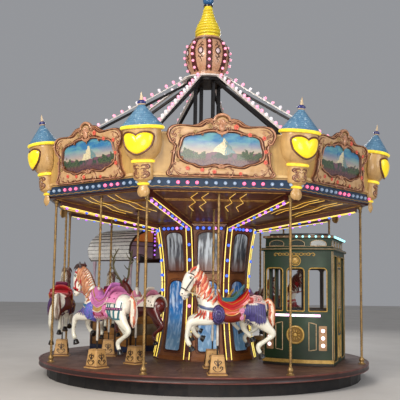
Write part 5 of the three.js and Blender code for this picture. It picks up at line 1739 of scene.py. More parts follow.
def barred_rump(kit, look):
    """White cloth with upright bars below a dark band sewn with beads."""
    for s in (-1, 1):
        xs = np.linspace(0.40, 0.70, 13)
        kit.patch(s, xs, [rump_top(x) for x in xs], np.full(13, 0.79), "ece7dd", 0.005, 0.005, 8)
        for x in (0.425, 0.475, 0.575, 0.67):
            kit.strap([kit.at(x, z, s, 0.013) for z in np.linspace(0.925, 0.80, 5)], 0.021,
                      look["bars"], 0.005)
            kit.strap([kit.at(x + 0.01, z, s, 0.013) for z in np.linspace(1.05, 0.97, 4)], 0.013,
                      look["bars"], 0.005)
        kit.strap([kit.at(x, 0.795, s, 0.013) for x in xs], 0.012, look["bars"], 0.006)
        kit.strap([kit.at(x, 0.945, s, 0.014) for x in xs], 0.026, look["border"], 0.008)
        for x in np.linspace(0.42, 0.68, 8):
            kit.boss(x, 0.948, s, [(0, 0), (0.011, 0.002), (0.008, 0.012), (0, 0.014)], look["bows"],
                     8, 0.018)
    back_cloth(kit, look)


def framed_roll(kit, look):
    """A blanket rolled up behind the seat, with a framed end panel before it."""
    for x, z, r in ((0.60, 1.135, 0.052), (0.545, 1.15, 0.045)):
        roll = [(x, y, z - 0.25 * y * y) for y in np.linspace(-0.15, 0.15, 9)]
        kit.form.add(sweep(roll, r, r, (0, 0, 1), 18), kit.finish(look["roll"]))
        for s in (-1, 1):
            for share in (1.0, 0.72, 0.42):
                ring = [(x + r * share * cos(a), s * 0.153, z + r * share * sin(a) - 0.006)
                        for a in round_angles(14)]
                kit.form.add(sweep(ring, 0.006, 0.006, (0, 1, 0), 4, True),
                             kit.finish(look["border"] if share != 0.72 else "8c8078"))
    for s in (-1, 1):
        ring = rounded_square_line(0.475, 1.115, 0.056, 0.05)
        pad = [[(x, s * y, z) for x, z in scaled(ring, share, (0.475, 1.115))]
               for share, y in ((1.0, 0.12), (1.0, 0.165), (0.8, 0.178), (0.3, 0.182))]
        kit.form.add(loft(pad), kit.finish(look["roll"]))
        kit.form.add(sweep([(x, s * 0.172, z) for x, z in ring], 0.009, 0.008, (0, 1, 0), 7, True),
                     kit.finish(look["border"]))


def rounded_square_line(x, z, wide, high, count=20):
    """A rounded rectangle about (x, z)."""
    line = []
    for a in round_angles(count):
        c, s = cos(a), sin(a)
        line.append((x + wide * copysign(abs(c) ** 0.6, c), z + high * copysign(abs(s) ** 0.6, s)))
    return line


def scaled(line, share, middle):
    return [(middle[0] + (x - middle[0]) * share, middle[1] + (z - middle[1]) * share) for x, z in line]


def dotted_blanket(kit, look):
    """A pink blanket behind the seat, drawn up to a point and sewn with dark dots; ovals on the cloth."""
    kit.cloth([[kit.over(x, a, 0.03 + 0.03 * exp(-((x - 0.42) / 0.09) ** 2) * cos(radians(a)))
                for a in np.linspace(-62, 62, 17)] for x in np.linspace(0.37, 0.60, 11)],
                    look["roll"], 0.012)
    for s in (-1, 1):
        for x, a in ((0.42, 22), (0.47, 44), (0.53, 20), (0.57, 46)):
            spot = kit.over(x, s * a, 0.042 + 0.03 * exp(-((x - 0.42) / 0.09) ** 2) * cos(radians(a)))
            kit.stud(spot, s * a, [(0, -0.012), (0.013, -0.01), (0.013, 0.004), (0, 0.006)], 10, "6b1440")
        kit.strap([kit.over(x, s * 62, 0.036) for x in np.linspace(0.37, 0.60, 9)], 0.008,
                  look["edge"], 0.008)
        for x in (0.09, 0.285):
            oval = [[kit.at(x + r * 0.026 * cos(a), 0.855 + r * 0.034 * sin(a), s, d)
                     for a in round_angles(18)] for r, d in ((1, 0.004), (1, 0.014), (0.7, 0.02),
                                                             (0.2, 0.021))]
            kit.form.add(loft(oval), kit.finish("8e1236"))
        for z in (0.885, 0.835):
            kit.strap([kit.at(x, z, s, 0.012) for x in np.linspace(0.12, 0.26, 5)], 0.005, "a83a6c", 0.005)


def antlers(kit, look):
    """Beams that spread and bend forwards, with tines, and the spots of the back cloth."""
    bone = kit.finish("8d8660", hollow="4c4526")
    for s in (-1, 1):
        beam = flow([(-0.37, 1.40, 0.045), (-0.41, 1.56, 0.15), (-0.46, 1.74, 0.22), (-0.43, 1.94, 0.235),
                     (-0.34, 2.11, 0.19)], 28)
        beam[:, 2] *= s
        thick = np.interp(np.linspace(0, 1, 28), [0, 0.5, 0.8, 1], [0.026, 0.024, 0.019, 0.007])
        kit.form.add(sweep(beam[:, (0, 2, 1)], thick, thick * 0.85, (0, 1, 0), 9), bone)
        for low, mid, tip in (((-0.45, 0.205, 1.69), (-0.53, 0.205, 1.72), (-0.59, 0.195, 1.79)),
                              ((-0.44, 0.23, 1.90), (-0.51, 0.22, 1.95), (-0.55, 0.205, 2.04)),
                              ((-0.39, 0.11, 1.50), (-0.46, 0.12, 1.51), (-0.53, 0.12, 1.57)),
                              ((-0.455, 0.225, 1.80), (-0.40, 0.25, 1.84), (-0.37, 0.25, 1.90)),
                              ((-0.385, 0.215, 2.03), (-0.43, 0.20, 2.06), (-0.45, 0.19, 2.10))):
            tine = flow([(low[0], s * low[1], low[2]), (mid[0], s * mid[1], mid[2]), (tip[0], s * tip[1],
                                                                                      tip[2])], 10)
            kit.form.add(sweep(tine, np.linspace(0.018, 0.005, 10), np.linspace(0.016, 0.005, 10),
                               (0, 1, 0), 8), bone)
    kit.cloth([[kit.over(x, a, 0.032 + 0.01 * sin(x * 21)) for a in np.linspace(-80, 80, 21)]
               for x in np.linspace(0.10, 0.66, 17)], "e9e0d0", 0.016)
    rng = random.Random(5)
    for _ in range(46):
        x, a = rng.uniform(0.12, 0.64), rng.uniform(-74, 74)
        kit.stud(kit.over(x, a, 0.049 + 0.01 * sin(x * 21)), a,
                 [(0, -0.03), (0.012, -0.03), (0.013, 0.003), (0, 0.005)], 8, "241a16")
    for s in (-1, 1):
        xs = np.linspace(-0.16, 0.04, 9)
        kit.patch(s, xs, 1.08 - 0.02 * np.linspace(1, -1, 9), np.full(9, 0.86), "d886a4", 0.008, 0.006, 8)


CLAMP_Z = 0.9


def animal(name, side, row, head, scale, coat, look):
    """One animal in its stall, with the colours of its harness."""
    kit = Harness(head, coat)
    rng = random.Random(look["seed"])
    cast_features(kit, look)
    if look["bridle"]:
        bridle(kit, look)
        mane_and_tail(kit, look, rng)
        flanks(kit, look)
    saddle(kit, look)
    for extra in look["extras"]:
        extra(kit, look)
    place = (stall_place(side, row) @ moved_by(0, 0, DECK + CLAMP_Z) @ Matrix.Scale(scale, 4)
             @ moved_by(0, 0, -CLAMP_Z))
    made = kit.form.piece(f"{name}_dressed", kit.colours, place, 50, drawn=True)
    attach(made, name)
    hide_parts(name)
    pole_name = name.replace("horse", "pole").replace("deer", "pole")
    pole = animal_pole(f"{pole_name}_twisted", stall_place(side, row))
    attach(pole, name)
    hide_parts(pole_name)


front_look = dict(
    seed=1, white="e8efe6", lid="b08a70", ear=None, bridle="33211a", bridle_wide=0.011, rein="d8c9a8",
    rosette="8a1414",
    bows="cf7fa0", edge="d9a24a", mane=("cf5236", "f3e0cc", "dc7a52", "c9432c", "e9a883"),
    forelock=("d0583c", "f3e3d0", "f0d6c2"), tail=("d36a3c", "efc09a", "f2dfc8", "c2532b", "de8655"),
    saddle="b81414", seat="2f7580", flap="c8421a", cloth="84200f", fringe=("7a1c10",), breast="4f5a80",
    panels=("c2381c", "f0e6da", "c2381c", "cc4420"), medal=("352a62", "2c2255", "40346e"),
    medal_edge="7d70b0",
    rump=("3f3674", "4f4686", "312a5c"), border="e0a9a4", back_cloth="e9e1d4", roll="b5342a",
    extras=(fringed_rump, framed_roll))
second_look = dict(
    seed=2, white="e8efe6", lid="5c4840", ear="3a2e30", bridle="b3141e", bridle_wide=0.017, rein="a01222",
    rosette="b3141e",
    bows="d87fae", edge="efe0cf", mane=("c9825a", "d6956a", "b8724e", "dba37e"), forelock=("3d2b28",
                                                                                           "57413b"),
    tail=("cf6a3e", "f0dcc6", "f5ead8", "f2e2d2", "c4572f"), saddle="c873a8", seat="cf7fc4", flap="b88f4c",
    cloth="d4729a", fringe=("d93a68", "f3dfe4"), breast="2f6f94", panels=("7d70cf", "5a6fd0", "8f7fdc"),
    medal=("7a6cc9", "6a5fc0", "4f6fc4"),
    medal_edge="2f7f94", rump=("ece7dd",), bars="2c6f78", border="3e1c44", back_cloth="efe9dc",
    roll="dd86b0", extras=(barred_rump, dotted_blanket))
third_look = dict(
    seed=3, white="e8efe6", lid="8a6a5e", ear="6b5048", bridle="a01622", bridle_wide=0.014, rein="a01622",
    rosette="b31a1a",
    bows="a81a2c", edge="d9a44e", mane=("c3b9a8", "9c8f7c", "e0d6c4"), forelock=("9c8f7c", "e0d6c4"),
    tail=("d9d0c0", "a99c8a", "f0e6d8"), saddle="a81620", seat="6a2040", flap="9a1420", cloth="4a2c50",
    fringe=("3c2048",),
    breast="a81620", panels=("b01c2a", "7e1422"), medal=("47295a", "3a1f4c"), medal_edge="c9943e",
    rump=("43295a", "52346a"), border="b01c2a", back_cloth="a81620", roll="b01c2a", extras=(fringed_rump,
                                                                                            framed_roll))
fourth_look = dict(
    seed=4, white="e8efe6", lid="8a6a5e", ear=None, bridle="1a4c3e", bridle_wide=0.012, rein="1a4c3e",
    rosette="c9943e",
    bows="d6b44e", edge="e0c060", mane=("b87a2c", "dcc08a", "a05f20"), forelock=("b87a2c", "dcc08a"),
    tail=("b87a2c", "dcc08a", "a05f20"), saddle="1f6a4c", seat="c99a38", flap="245f9c", cloth="183c74",
    fringe=("d6b44e",),
    breast="1f6a4c", panels=("d6a440", "245f9c"), medal=("184c78", "123a60"), medal_edge="d6b44e",
    rump=("245f9c", "3274b0"), border="dccb90", back_cloth="efe9dc", roll="1f6a4c", extras=(fringed_rump,
                                                                                            framed_roll))
deer_look = dict(
    seed=6, white="e8e0d0", lid="2c1210", ear="5f1712", bridle="", edge="e0d4c0", saddle="cf7f9c",
    seat="e2d8c6", extras=(antlers,))

OUTER_SIZE, INNER_SIZE = 1.0, 0.85
for name, side, row, head, size, coat, look in (
        ("horse_outer_1", 0, OUTER_ROW, "raised", OUTER_SIZE, coat_white, front_look),
        ("horse_outer_4", 3, OUTER_ROW, "arched", OUTER_SIZE, coat_white, third_look),
        ("horse_outer_5", 4, OUTER_ROW, "arched", OUTER_SIZE, coat_white, fourth_look),
        ("horse_outer_7", 6, OUTER_ROW, "raised", OUTER_SIZE, coat_white, third_look),
        ("horse_outer_8", 7, OUTER_ROW, "arched", OUTER_SIZE, coat_white, second_look),
        ("horse_inner_1", 0, INNER_ROW, "arched", INNER_SIZE, coat_white, fourth_look),
        ("horse_inner_4", 3, INNER_ROW, "raised", INNER_SIZE, coat_white, second_look),
        ("horse_inner_5", 4, INNER_ROW, "raised", INNER_SIZE, coat_white, front_look),
        ("horse_inner_7", 6, INNER_ROW, "arched", INNER_SIZE, coat_white, third_look),
        ("deer_inner_8", 7, INNER_ROW, "lowered", INNER_SIZE, coat_brown, deer_look)):
    animal(name, side, row, head, size, coat, look)

# Cab: a cabin like an old coach's for small children, of panelled plywood on a welded frame, glossy dark
# green outside and brown inside. The front is bowed; mouldings, discs and light panels are screwed on.
CAB_HALF, CAB_BACK, CAB_FRONT, CAB_BOW = 0.6, 0.8, -0.69, 0.11
CAB_WALL, CAB_FLOOR, CAB_TOP = 0.045, 0.06, 1.93
SILL, HEAD, DADO, LINTEL, CAB_FOOT = 0.91, 1.634, 0.86, 1.69, 0.004
OUTSIDE, INSIDE = 0, 1
CREAM_TRIM, GOLD_TRIM, BROWN_TRIM, TAN_TRIM = range(4)
CAB_PLACE = upright(1.5 * SIDE) @ moved_by(0, -1.9, DECK)


def streaky(tree, place, tint):
    """Darker, more olive green low down on the gloss."""
    z = parts_of(tree, place)[2]
    low = fade(tree, z, DECK + 0.35, DECK, 0.0, 0.3)
    return mix(tree, low, tint, ink("2a3218"))


cab_green = paint("cab_green", "05300e", "031f08", scale=3, rough=0.42, bump=0.04, over=streaky)
cab_brown = paint("cab_brown", "2b1a14", "170e0b", scale=6, rough=0.5)
cab_cream = paint("cab_cream", "cdb28a", "a98a60", scale=16, rough=0.4, hollow="6f5432")
cab_gold = paint("cab_gold", "c9a252", "a17c36", scale=18, rough=0.34, metal=0.15, hollow="806026")
cab_tan = paint("cab_tan", "b08a62", "8f6b45", scale=12, rough=0.42, hollow="5f4226")
cab_leather = paint("cab_leather", "5e2418", "42170f", scale=11, rough=0.42, bump=0.3, grain=160, coat=0.15)


def cab_front(u, depth, z):
    return (CAB_FRONT - CAB_BOW * (1 - (u / CAB_HALF) ** 2) + depth, u, z)


def cab_rear(u, depth, z):
    return (CAB_BACK - depth, u, z)


def cab_crowd(u, depth, z):
    return (u, -CAB_HALF + depth, z)


def cab_far(u, depth, z):
    return (u, CAB_HALF - depth, z)


def rounded_opening(u1, u2, z1, z2, top, foot, steps=5, along=4):
    """Points round an opening from its lower right corner on, and which of them are its corners."""
    arcs = []
    for u, z, r, start in ((u2, z1, foot, -90), (u2, z2, top, 0), (u1, z2, top, 90), (u1, z1, foot, 180)):
        cu, cz = (u - r if u == u2 else u + r), (z + r if z == z1 else z - r)
        turns = np.radians(start + np.linspace(0, 90, steps))
        arcs.append([(cu + r * cos(a), cz + r * sin(a)) for a in turns])
    ring, corners = [], []
    for k, arc in enumerate(arcs):
        corners.append(len(ring) + steps // 2)
        ring += arc
        (ua, za), (ub, zb) = arc[-1], arcs[(k + 1) % 4][0]
        ring += [(ua + (ub - ua) * t, za + (zb - za) * t) for t in np.arange(1, along + 1) / (along + 1)]
    return ring, corners


def pierced(form, at, cell, opening, top, foot):
    """A piece of wall with a rounded opening, its outside and its inside finished apart."""
    ring, corners = rounded_opening(*opening, top, foot)
    (u1, u2, z1, z2), (a1, a2, b1, b2) = cell, opening
    outer = []
    for u, z in ring:
        qu, qz = (2 * u - a1 - a2) / (a2 - a1), (2 * z - b1 - b2) / (b2 - b1)
        reach = max(abs(qu), abs(qz))
        qu, qz = qu / reach, qz / reach
        middle_u, middle_z = (a1 + a2) / 2, (b1 + b2) / 2
        outer.append((middle_u + qu * ((u2 if qu > 0 else 2 * middle_u - u1) - middle_u),
                      middle_z + qz * ((z2 if qz > 0 else 2 * middle_z - z1) - middle_z)))
    for spot, corner in zip(corners, ((u2, z1), (u2, z2), (u1, z2), (u1, z1))):
        outer[spot] = corner
    rings = [[at(u, 0, z) for u, z in outer], [at(u, 0, z) for u, z in ring],
             [at(u, CAB_WALL, z) for u, z in ring], [at(u, CAB_WALL, z) for u, z in outer]]
    count = len(ring)
    form.add(loft(rings, closed=True), [OUTSIDE] * 2 * count + [INSIDE] * count + [OUTSIDE] * count)
    return ring


def band(form, at, u1, u2, z1, z2, count):
    """A solid strip of wall."""
    sections = [[at(u, 0, z1), at(u, CAB_WALL, z1), at(u, CAB_WALL, z2), at(u, 0, z2)]
                for u in np.linspace(u1, u2, count)]
    form.add(loft(sections), [OUTSIDE, INSIDE, OUTSIDE, OUTSIDE] * (count - 1) + [OUTSIDE] * 2)


def moulded(form, at, line, half, finish, closed=True, proud=0.003, sides=6, high=None):
    """A moulding laid on a wall along a line of (across, height)."""
    out = Vector(at(0, -1, 0)) - Vector(at(0, 0, 0))
    form.add(sweep([at(u, -proud, z) for u, z in line], half, high or half * 0.8, tuple(out), sides,
                   closed), finish)


def facing(at, u, z, proud=0.0):
    """A frame standing on a wall, its Z straight out and its Y up."""
    along = Vector(at(u + 0.01, 0, z)) - Vector(at(u - 0.01, 0, z))
    out = along.cross(Vector((0, 0, 1))).normalized()
    if out.dot(Vector(at(u, -1, z)) - Vector(at(u, 0, z))) < 0:
        out.negate()
    sideways = Vector((0, 0, 1)).cross(out)
    turned = Matrix((sideways, Vector((0, 0, 1)), out)).transposed().to_4x4()
    return Matrix.Translation(Vector(at(u, 0, z)) + out * proud) @ turned


cab = Form()
trim = Form()
for at, panes, splits, half, count in (
        (cab_front, (-0.352, 0.02, 0.39), (-0.598, -0.166, 0.205, 0.598), 0.148, 9),
        (cab_rear, (-0.352, 0, 0.352), (-0.598, -0.18, 0.18, 0.598), 0.148, 3),
        (cab_far, (-0.43, 0.05, 0.53), (-0.69, -0.19, 0.29, 0.8), 0.19, 3)):
    for pane, u1, u2 in zip(panes, splits, splits[1:]):
        ring = pierced(cab, at, (u1, u2, DADO, LINTEL), (pane - half, pane + half, SILL, HEAD), 0.058, 0.012)
        moulded(trim, at, ring, 0.0095, GOLD_TRIM)
    band(cab, at, splits[0], splits[-1], CAB_FOOT, DADO, count)
    band(cab, at, splits[0], splits[-1], LINTEL, CAB_TOP, count)
for pane, u1, u2 in ((-0.41, -0.69, -0.2), (0.46, 0.25, 0.8)):
    ring = pierced(cab, cab_crowd, (u1, u2, CAB_FOOT, CAB_TOP), (pane - 0.195, pane + 0.195,
                                                                 CAB_FLOOR, 1.85), 0.05, 0.006)
    moulded(trim, cab_crowd, ring, 0.008, GOLD_TRIM)
for pane, u1, u2 in ((-0.06, -0.2, 0.02), (0.1, 0.02, 0.25)):
    ring = pierced(cab, cab_crowd, (u1, u2, 0.92, 1.68), (pane - 0.035, pane + 0.035, 0.98, 1.62),
                   0.033, 0.006)
    moulded(trim, cab_crowd, ring, 0.008, CREAM_TRIM)
band(cab, cab_crowd, -0.2, 0.25, CAB_FOOT, 0.92, 3)
band(cab, cab_crowd, -0.2, 0.25, 1.68, CAB_TOP, 3)


def cab_plan(grow, z, steps=17):
    """The outline of the cab in plan, grown outwards."""
    half = CAB_HALF + grow
    bowed = [(CAB_FRONT - grow - CAB_BOW * (1 - (y / half) ** 2), y, z) for y in np.linspace(half,
                                                                                             -half, steps)]
    return bowed + [(CAB_BACK + grow, -half, z), (CAB_BACK + grow, half, z)]


cab.add(loft([cab_plan(-0.01, CAB_FOOT), cab_plan(-0.01, CAB_FLOOR)]), INSIDE)
cab.add(box((-0.298, -0.56, 0.055), (0.338, 0.56, 0.4)), INSIDE)
cab.add(box((-0.008, -0.56, 0.39), (0.048, 0.56, 0.915)), INSIDE)
for at, end_1, end_2 in ((cab_front, -0.6, 0.6), (cab_rear, -0.6, 0.6), (cab_far, -0.69, 0.8)):
    run = np.linspace(end_1, end_2, 15)
    moulded(trim, at, [(u, 0.078) for u in run], 0.04, GOLD_TRIM, closed=False, sides=4, high=0.012)
    moulded(trim, at, [(u, 0.024) for u in run], 0.02, BROWN_TRIM, closed=False, sides=4, high=0.012)
for at, ends in ((cab_front, (-0.585, 0.585)), (cab_rear, (-0.585, 0.585)), (cab_far, (-0.68, 0.785)),
                 (cab_crowd, (-0.68, 0.785))):
    for u in ends:
        moulded(trim, at, [(u, z) for z in np.linspace(0.11, 1.92, 4)], 0.006, CREAM_TRIM, closed=False)

# The front's gilt: an upper chain of links with hooked ends, a ringed disc, a large disc with a
# flower of leaves, and slanting outlined panels.
CAB_MIDDLE, PANEL_ASIDE, UPPER_DISC_Z = 0.02, 0.452, 1.757
CHAIN_Z, CHAIN_MIDDLE = 1.868, 0.045
for n in range(9):
    u, wide = CHAIN_MIDDLE + (n - 4) * 0.062, 0.042 - 0.003 * abs(n - 4)
    tall = 0.021 if n % 2 == 0 else 0.015
    link = [(u + wide * cos(a), CHAIN_Z + tall * sin(a)) for a in round_angles(18)]
    moulded(trim, cab_front, link, 0.006, GOLD_TRIM, proud=0.006)
for hand in (-1, 1):
    tail = np.array([[CHAIN_MIDDLE + hand * 0.26, CHAIN_Z], [CHAIN_MIDDLE + hand * 0.31, CHAIN_Z + 0.018]])
    hook = volute(CHAIN_MIDDLE + hand * 0.33, CHAIN_Z - 0.012, 0.026, pi / 2, 0.9, -hand, 16, tail)
    moulded(trim, cab_front, [tuple(p) for p in hook], 0.007, GOLD_TRIM, closed=False, proud=0.006)
for r, half in ((0.085, 0.010), (0.058, 0.006)):
    ring = [(CAB_MIDDLE + r * cos(a), UPPER_DISC_Z + r * sin(a)) for a in round_angles(28)]
    moulded(trim, cab_front, ring, half, GOLD_TRIM, proud=0.004)
trim.add(lathe([(0, 0), (0.05, 0.002), (0.044, 0.012), (0.02, 0.016), (0, 0.017)], 24,
               relief=[0, 0, 0.6, 1, 1]), GOLD_TRIM, facing(cab_front, CAB_MIDDLE, UPPER_DISC_Z))
disc_place = facing(cab_front, CAB_MIDDLE, 0.514)
trim.add(lathe([(0, 0), (0.152, 0.0), (0.155, 0.012), (0.148, 0.026), (0.136, 0.03), (0.124, 0.024),
                (0.118, 0.012),
                (0.06, 0.01), (0, 0.01)], 44, relief=[1, 1, 1, 1, 1, 0.5, 0, 0.3, 0.3]), GOLD_TRIM,
                    disc_place)
for petal in range(10):
    a = petal * pi / 5
    leaf = lathe([(0, -0.004), (0.3, 0.2), (0.42, 0.5), (0.3, 0.8), (0, 1.0)], 8, 0.5, relief=[0, 0.4, 1,
                                                                                               0.7, 0.2])
    spread = upright(a) @ moved_by(0.03, 0, 0.012) @ tipped(pi / 2, "Y")
    trim.add(leaf, GOLD_TRIM, disc_place @ spread @ Matrix.Diagonal((0.05, 0.05, 0.08 if petal % 2
                                                                     else 0.062, 1)))
trim.add(lathe([(0, 0.004), (0.032, 0.008), (0.03, 0.026), (0.016, 0.034), (0, 0.036)], 18), GOLD_TRIM,
         disc_place)
for hand in (-1, 1):
    inner, outer = CAB_MIDDLE + hand * 0.225, CAB_MIDDLE + hand * 0.345
    slanted = [(inner, 0.255), (outer, 0.275), (outer, 0.695), (inner, 0.725)]
    line = [tuple(p) for k in range(4) for p in np.linspace(slanted[k], slanted[(k + 1) % 4], 5)[:-1]]
    moulded(trim, cab_front, line, 0.0075, CREAM_TRIM, proud=0.004)
    middle = CAB_MIDDLE + hand * PANEL_ASIDE
    panel = [[cab_front(u, d, z) for u, d, z in (
        (middle - w, 0.0, z), (middle + w, 0.0, z), (middle + w * 0.94, -0.016, z), (middle - w * 0.94,
                                                                                     -0.016, z))]
        for w, z in ((0.06, 0.262), (0.066, 0.268), (0.066, 0.662), (0.06, 0.668))]
    trim.add(loft(panel), TAN_TRIM)

# The outer side's middle pillar: a cream crest with a vase over two slits, a scroll and two pilasters.
PILLAR_MIDDLE = 0.025
for hand in (-1, 1):
    for z, radius, start in ((1.80, 0.036, 0.0), (1.70, 0.03, pi), (0.86, 0.042, 0.0), (0.66, 0.046, pi)):
        coil = volute(PILLAR_MIDDLE + hand * 0.075, z, radius, start if hand > 0 else pi - start, 1.3,
                      hand, 20)
        moulded(trim, cab_crowd, [tuple(p) for p in coil], 0.008, GOLD_TRIM, closed=False, proud=0.005)
    arm = flow([(PILLAR_MIDDLE + hand * 0.02, 0.52), (PILLAR_MIDDLE + hand * 0.09, 0.6),
                (PILLAR_MIDDLE + hand * 0.05, 0.76), (PILLAR_MIDDLE + hand * 0.02, 0.94)], 16)
    moulded(trim, cab_crowd, [tuple(p) for p in arm], 0.009, GOLD_TRIM, closed=False, proud=0.005)
    pilaster = PILLAR_MIDDLE + hand * 0.12
    trim.add(loft([[cab_crowd(u, d, z) for u, d in (
        (pilaster - w, 0), (pilaster + w, 0), (pilaster + w * 0.6, -0.02), (pilaster - w * 0.6, -0.02))]
        for w, z in ((0.034, 0.1), (0.034, 0.14), (0.022, 0.16), (0.026, 0.42), (0.036, 0.45),
                     (0.036, 0.48))]), GOLD_TRIM)
vase = [(0, 0), (0.02, 0.0), (0.028, 0.01), (0.014, 0.03), (0.022, 0.06), (0.04, 0.1), (0.036, 0.14),
        (0.018, 0.165), (0.026, 0.185), (0, 0.19)]
trim.add(lathe(vase, 16, 0.5, relief=[0.5, 0.5, 1, 0, 0.4, 1, 1, 0, 1, 1]), GOLD_TRIM,
         Matrix.Translation(cab_crowd(PILLAR_MIDDLE, 0, 1.68)))
moulded(trim, cab_crowd, [(-0.2, 1.665), (0.24, 1.665)], 0.008, CREAM_TRIM, closed=False)
moulded(trim, cab_crowd, [(-0.2, 0.955), (0.24, 0.955)], 0.008, CREAM_TRIM, closed=False)
cab_shell = cab.piece("cab_shell", [cab_green, cab_brown], CAB_PLACE)
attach(cab_shell, "turntable")
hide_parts("cab_body")
cab_trim = trim.piece("cab_mouldings", [cab_cream, cab_gold, cab_brown, cab_tan], CAB_PLACE)
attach(cab_trim, "turntable")

# The cab's roof: a cornice, a lamp storey with arched lights, a second cornice with bulbs under it and
# a flat dark top, all of turned and bent plywood.
CORNICE, BLACK, BEAD, LAMP = range(1, 5)
roof = Form()
storeys = [(-0.03, 1.93), (0.03, 1.931), (0.035, 1.94), (0.035, 1.972), (0.026, 1.981), (-0.03, 1.985),
           (-0.03, 2.138),
           (-0.012, 2.146), (0.009, 2.152), (0.009, 2.182), (0.0, 2.19), (-0.09, 2.193), (-0.09, 2.222),
           (-0.098, 2.23)]
side_count = len(cab_plan(0, 0))
finish_of = [OUTSIDE] * 7 + [CORNICE] * 4 + [BLACK] * 2
roof.add(loft([cab_plan(grow, z) for grow, z in storeys]), [f for f in finish_of for _ in range(side_count)]
         + [OUTSIDE, BLACK])
roof.add(sweep(cab_plan(0.036, 1.956), 0.007, 0.007, (0, 0, 1), 6, True), BEAD)
roof.add(sweep(cab_plan(-0.026, 2.0), 0.005, 0.005, (0, 0, 1), 6, True), BEAD)


def storey_front(u, depth, z):
    x, y, _ = cab_front(u, depth, z)
    return (x + 0.03, y, z)


def storey_crowd(u, depth, z):
    return (u, -CAB_HALF + 0.03 + depth, z)


def storey_far(u, depth, z):
    return (u, CAB_HALF - 0.03 - depth, z)


for at, middles, half in ((storey_front, (-0.36, 0.0, 0.36), 0.13), (storey_crowd, (-0.51, -0.15, 0.21,
                                                                                    0.57), 0.13),
                          (storey_far, (-0.51, -0.15, 0.21, 0.57), 0.13)):
    for middle in middles:
        arch = [(middle - half, 2.012)] + [
            (middle - half * cos(a), 2.05 + 0.062 * sin(a)) for a in np.linspace(0, pi, 11)] + [
            (middle + half, 2.012)]
        arch += [(middle + half * (1 - 2 * t), 2.012) for t in (0.25, 0.5, 0.75)]
        out = Vector(at(0, -1, 0)) - Vector(at(0, 0, 0))
        roof.add(sweep([at(u, -0.004, z) for u, z in arch], 0.006, 0.006, tuple(out), 6, True), BEAD)
        roof.add(loft([[at(middle + (u - middle) * s, -d, 2.045 + (z - 2.045) * s) for u, z in arch]
                       for s, d in ((0.96, -0.004), (0.94, 0.004))]), LAMP)
lamp_glass = paint("lamp_glass", "2d3a2c", "18231a", scale=9, rough=0.15, coat=0.8)
cab_cornice = paint("cab_cornice", "8a6a4a", "6b4e33", scale=8, rough=0.4, hollow="3f2a18")
cab_black = paint("cab_black", "0d0f0d", "1a1c18", scale=8, rough=0.3, coat=0.5)
cab_roof = roof.piece("cab_roof_storeys", [cab_green, cab_cornice, cab_black, cab_cream, lamp_glass],
                      CAB_PLACE)
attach(cab_roof, "turntable")
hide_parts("cab_roof")


def cab_tube_tint(tree, place, tint):
    """A tube that fades along its length from yellow-white through pink to a cool white."""
    spread = stretched(tree, place, (5.5, 5.5, 0))
    waves = noise(tree, spread, 1.0, 1.0)
    rosy = fade(tree, waves, 0.4, 0.55)
    cooled = mix(tree, rosy, ink("f2ffd0"), ink("f5b4ec"))
    cool = fade(tree, waves, 0.55, 0.68)
    return mix(tree, cool, cooled, ink("ecfffb"))


cab_tube = paint("cab_tube", "ffffff", rough=0.25, glow=1.5, over=cab_tube_tint)
bulb_cyan = paint("bulb_cyan", "6fe6f2", "c9fbff", scale=60, rough=0.12, glow=1.4)
bulb_dim = paint("bulb_dim", "8b7a5c", "b3a17e", scale=60, rough=0.2, coat=0.5)
bulb_white = paint("bulb_white", "fff4f6", "ffd9ee", scale=30, rough=0.15, glow=1.8)
light_bar = Form()
light_bar.add(sweep([cab_front(u, -0.012, 0.838) for u in np.linspace(-0.395, 0.5, 25)], 0.021, 0.014,
                    (-1, 0, 0), 10))
light_bar = light_bar.piece("cab_light_bar", cab_tube, CAB_PLACE)
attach(light_bar, "turntable")
places = [CAB_PLACE @ facing(cab_front, CAB_MIDDLE + hand * PANEL_ASIDE, z, 0.016) for hand in (-1, 1)
          for z in (0.345, 0.467, 0.589)]
panel_bulbs = lay_out("cab_panel_bulbs", bulb(0.034, 0.9), places, bulb_white)
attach(panel_bulbs, "turntable")
spots = [(cab_front, u) for u in np.linspace(-0.54, 0.54, 11)] + [(cab_crowd, u)
                                                                  for u in np.linspace(-0.6, 0.72, 12)]
places = [CAB_PLACE @ facing(at, u, 2.168, 0.012) for at, u in spots]
shining = [at is cab_crowd or u < 0.05 for at, u in spots]
cornice_bulbs = lay_out("cab_cornice_bulbs", bulb(0.021), places, bulb_dim, bulb_cyan, shining)
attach(cornice_bulbs, "turntable")

# Cab cushions: foam in brown vinyl, a seat each side of the shared backrest and a pad on either face
# of it, with two sewn channels across.


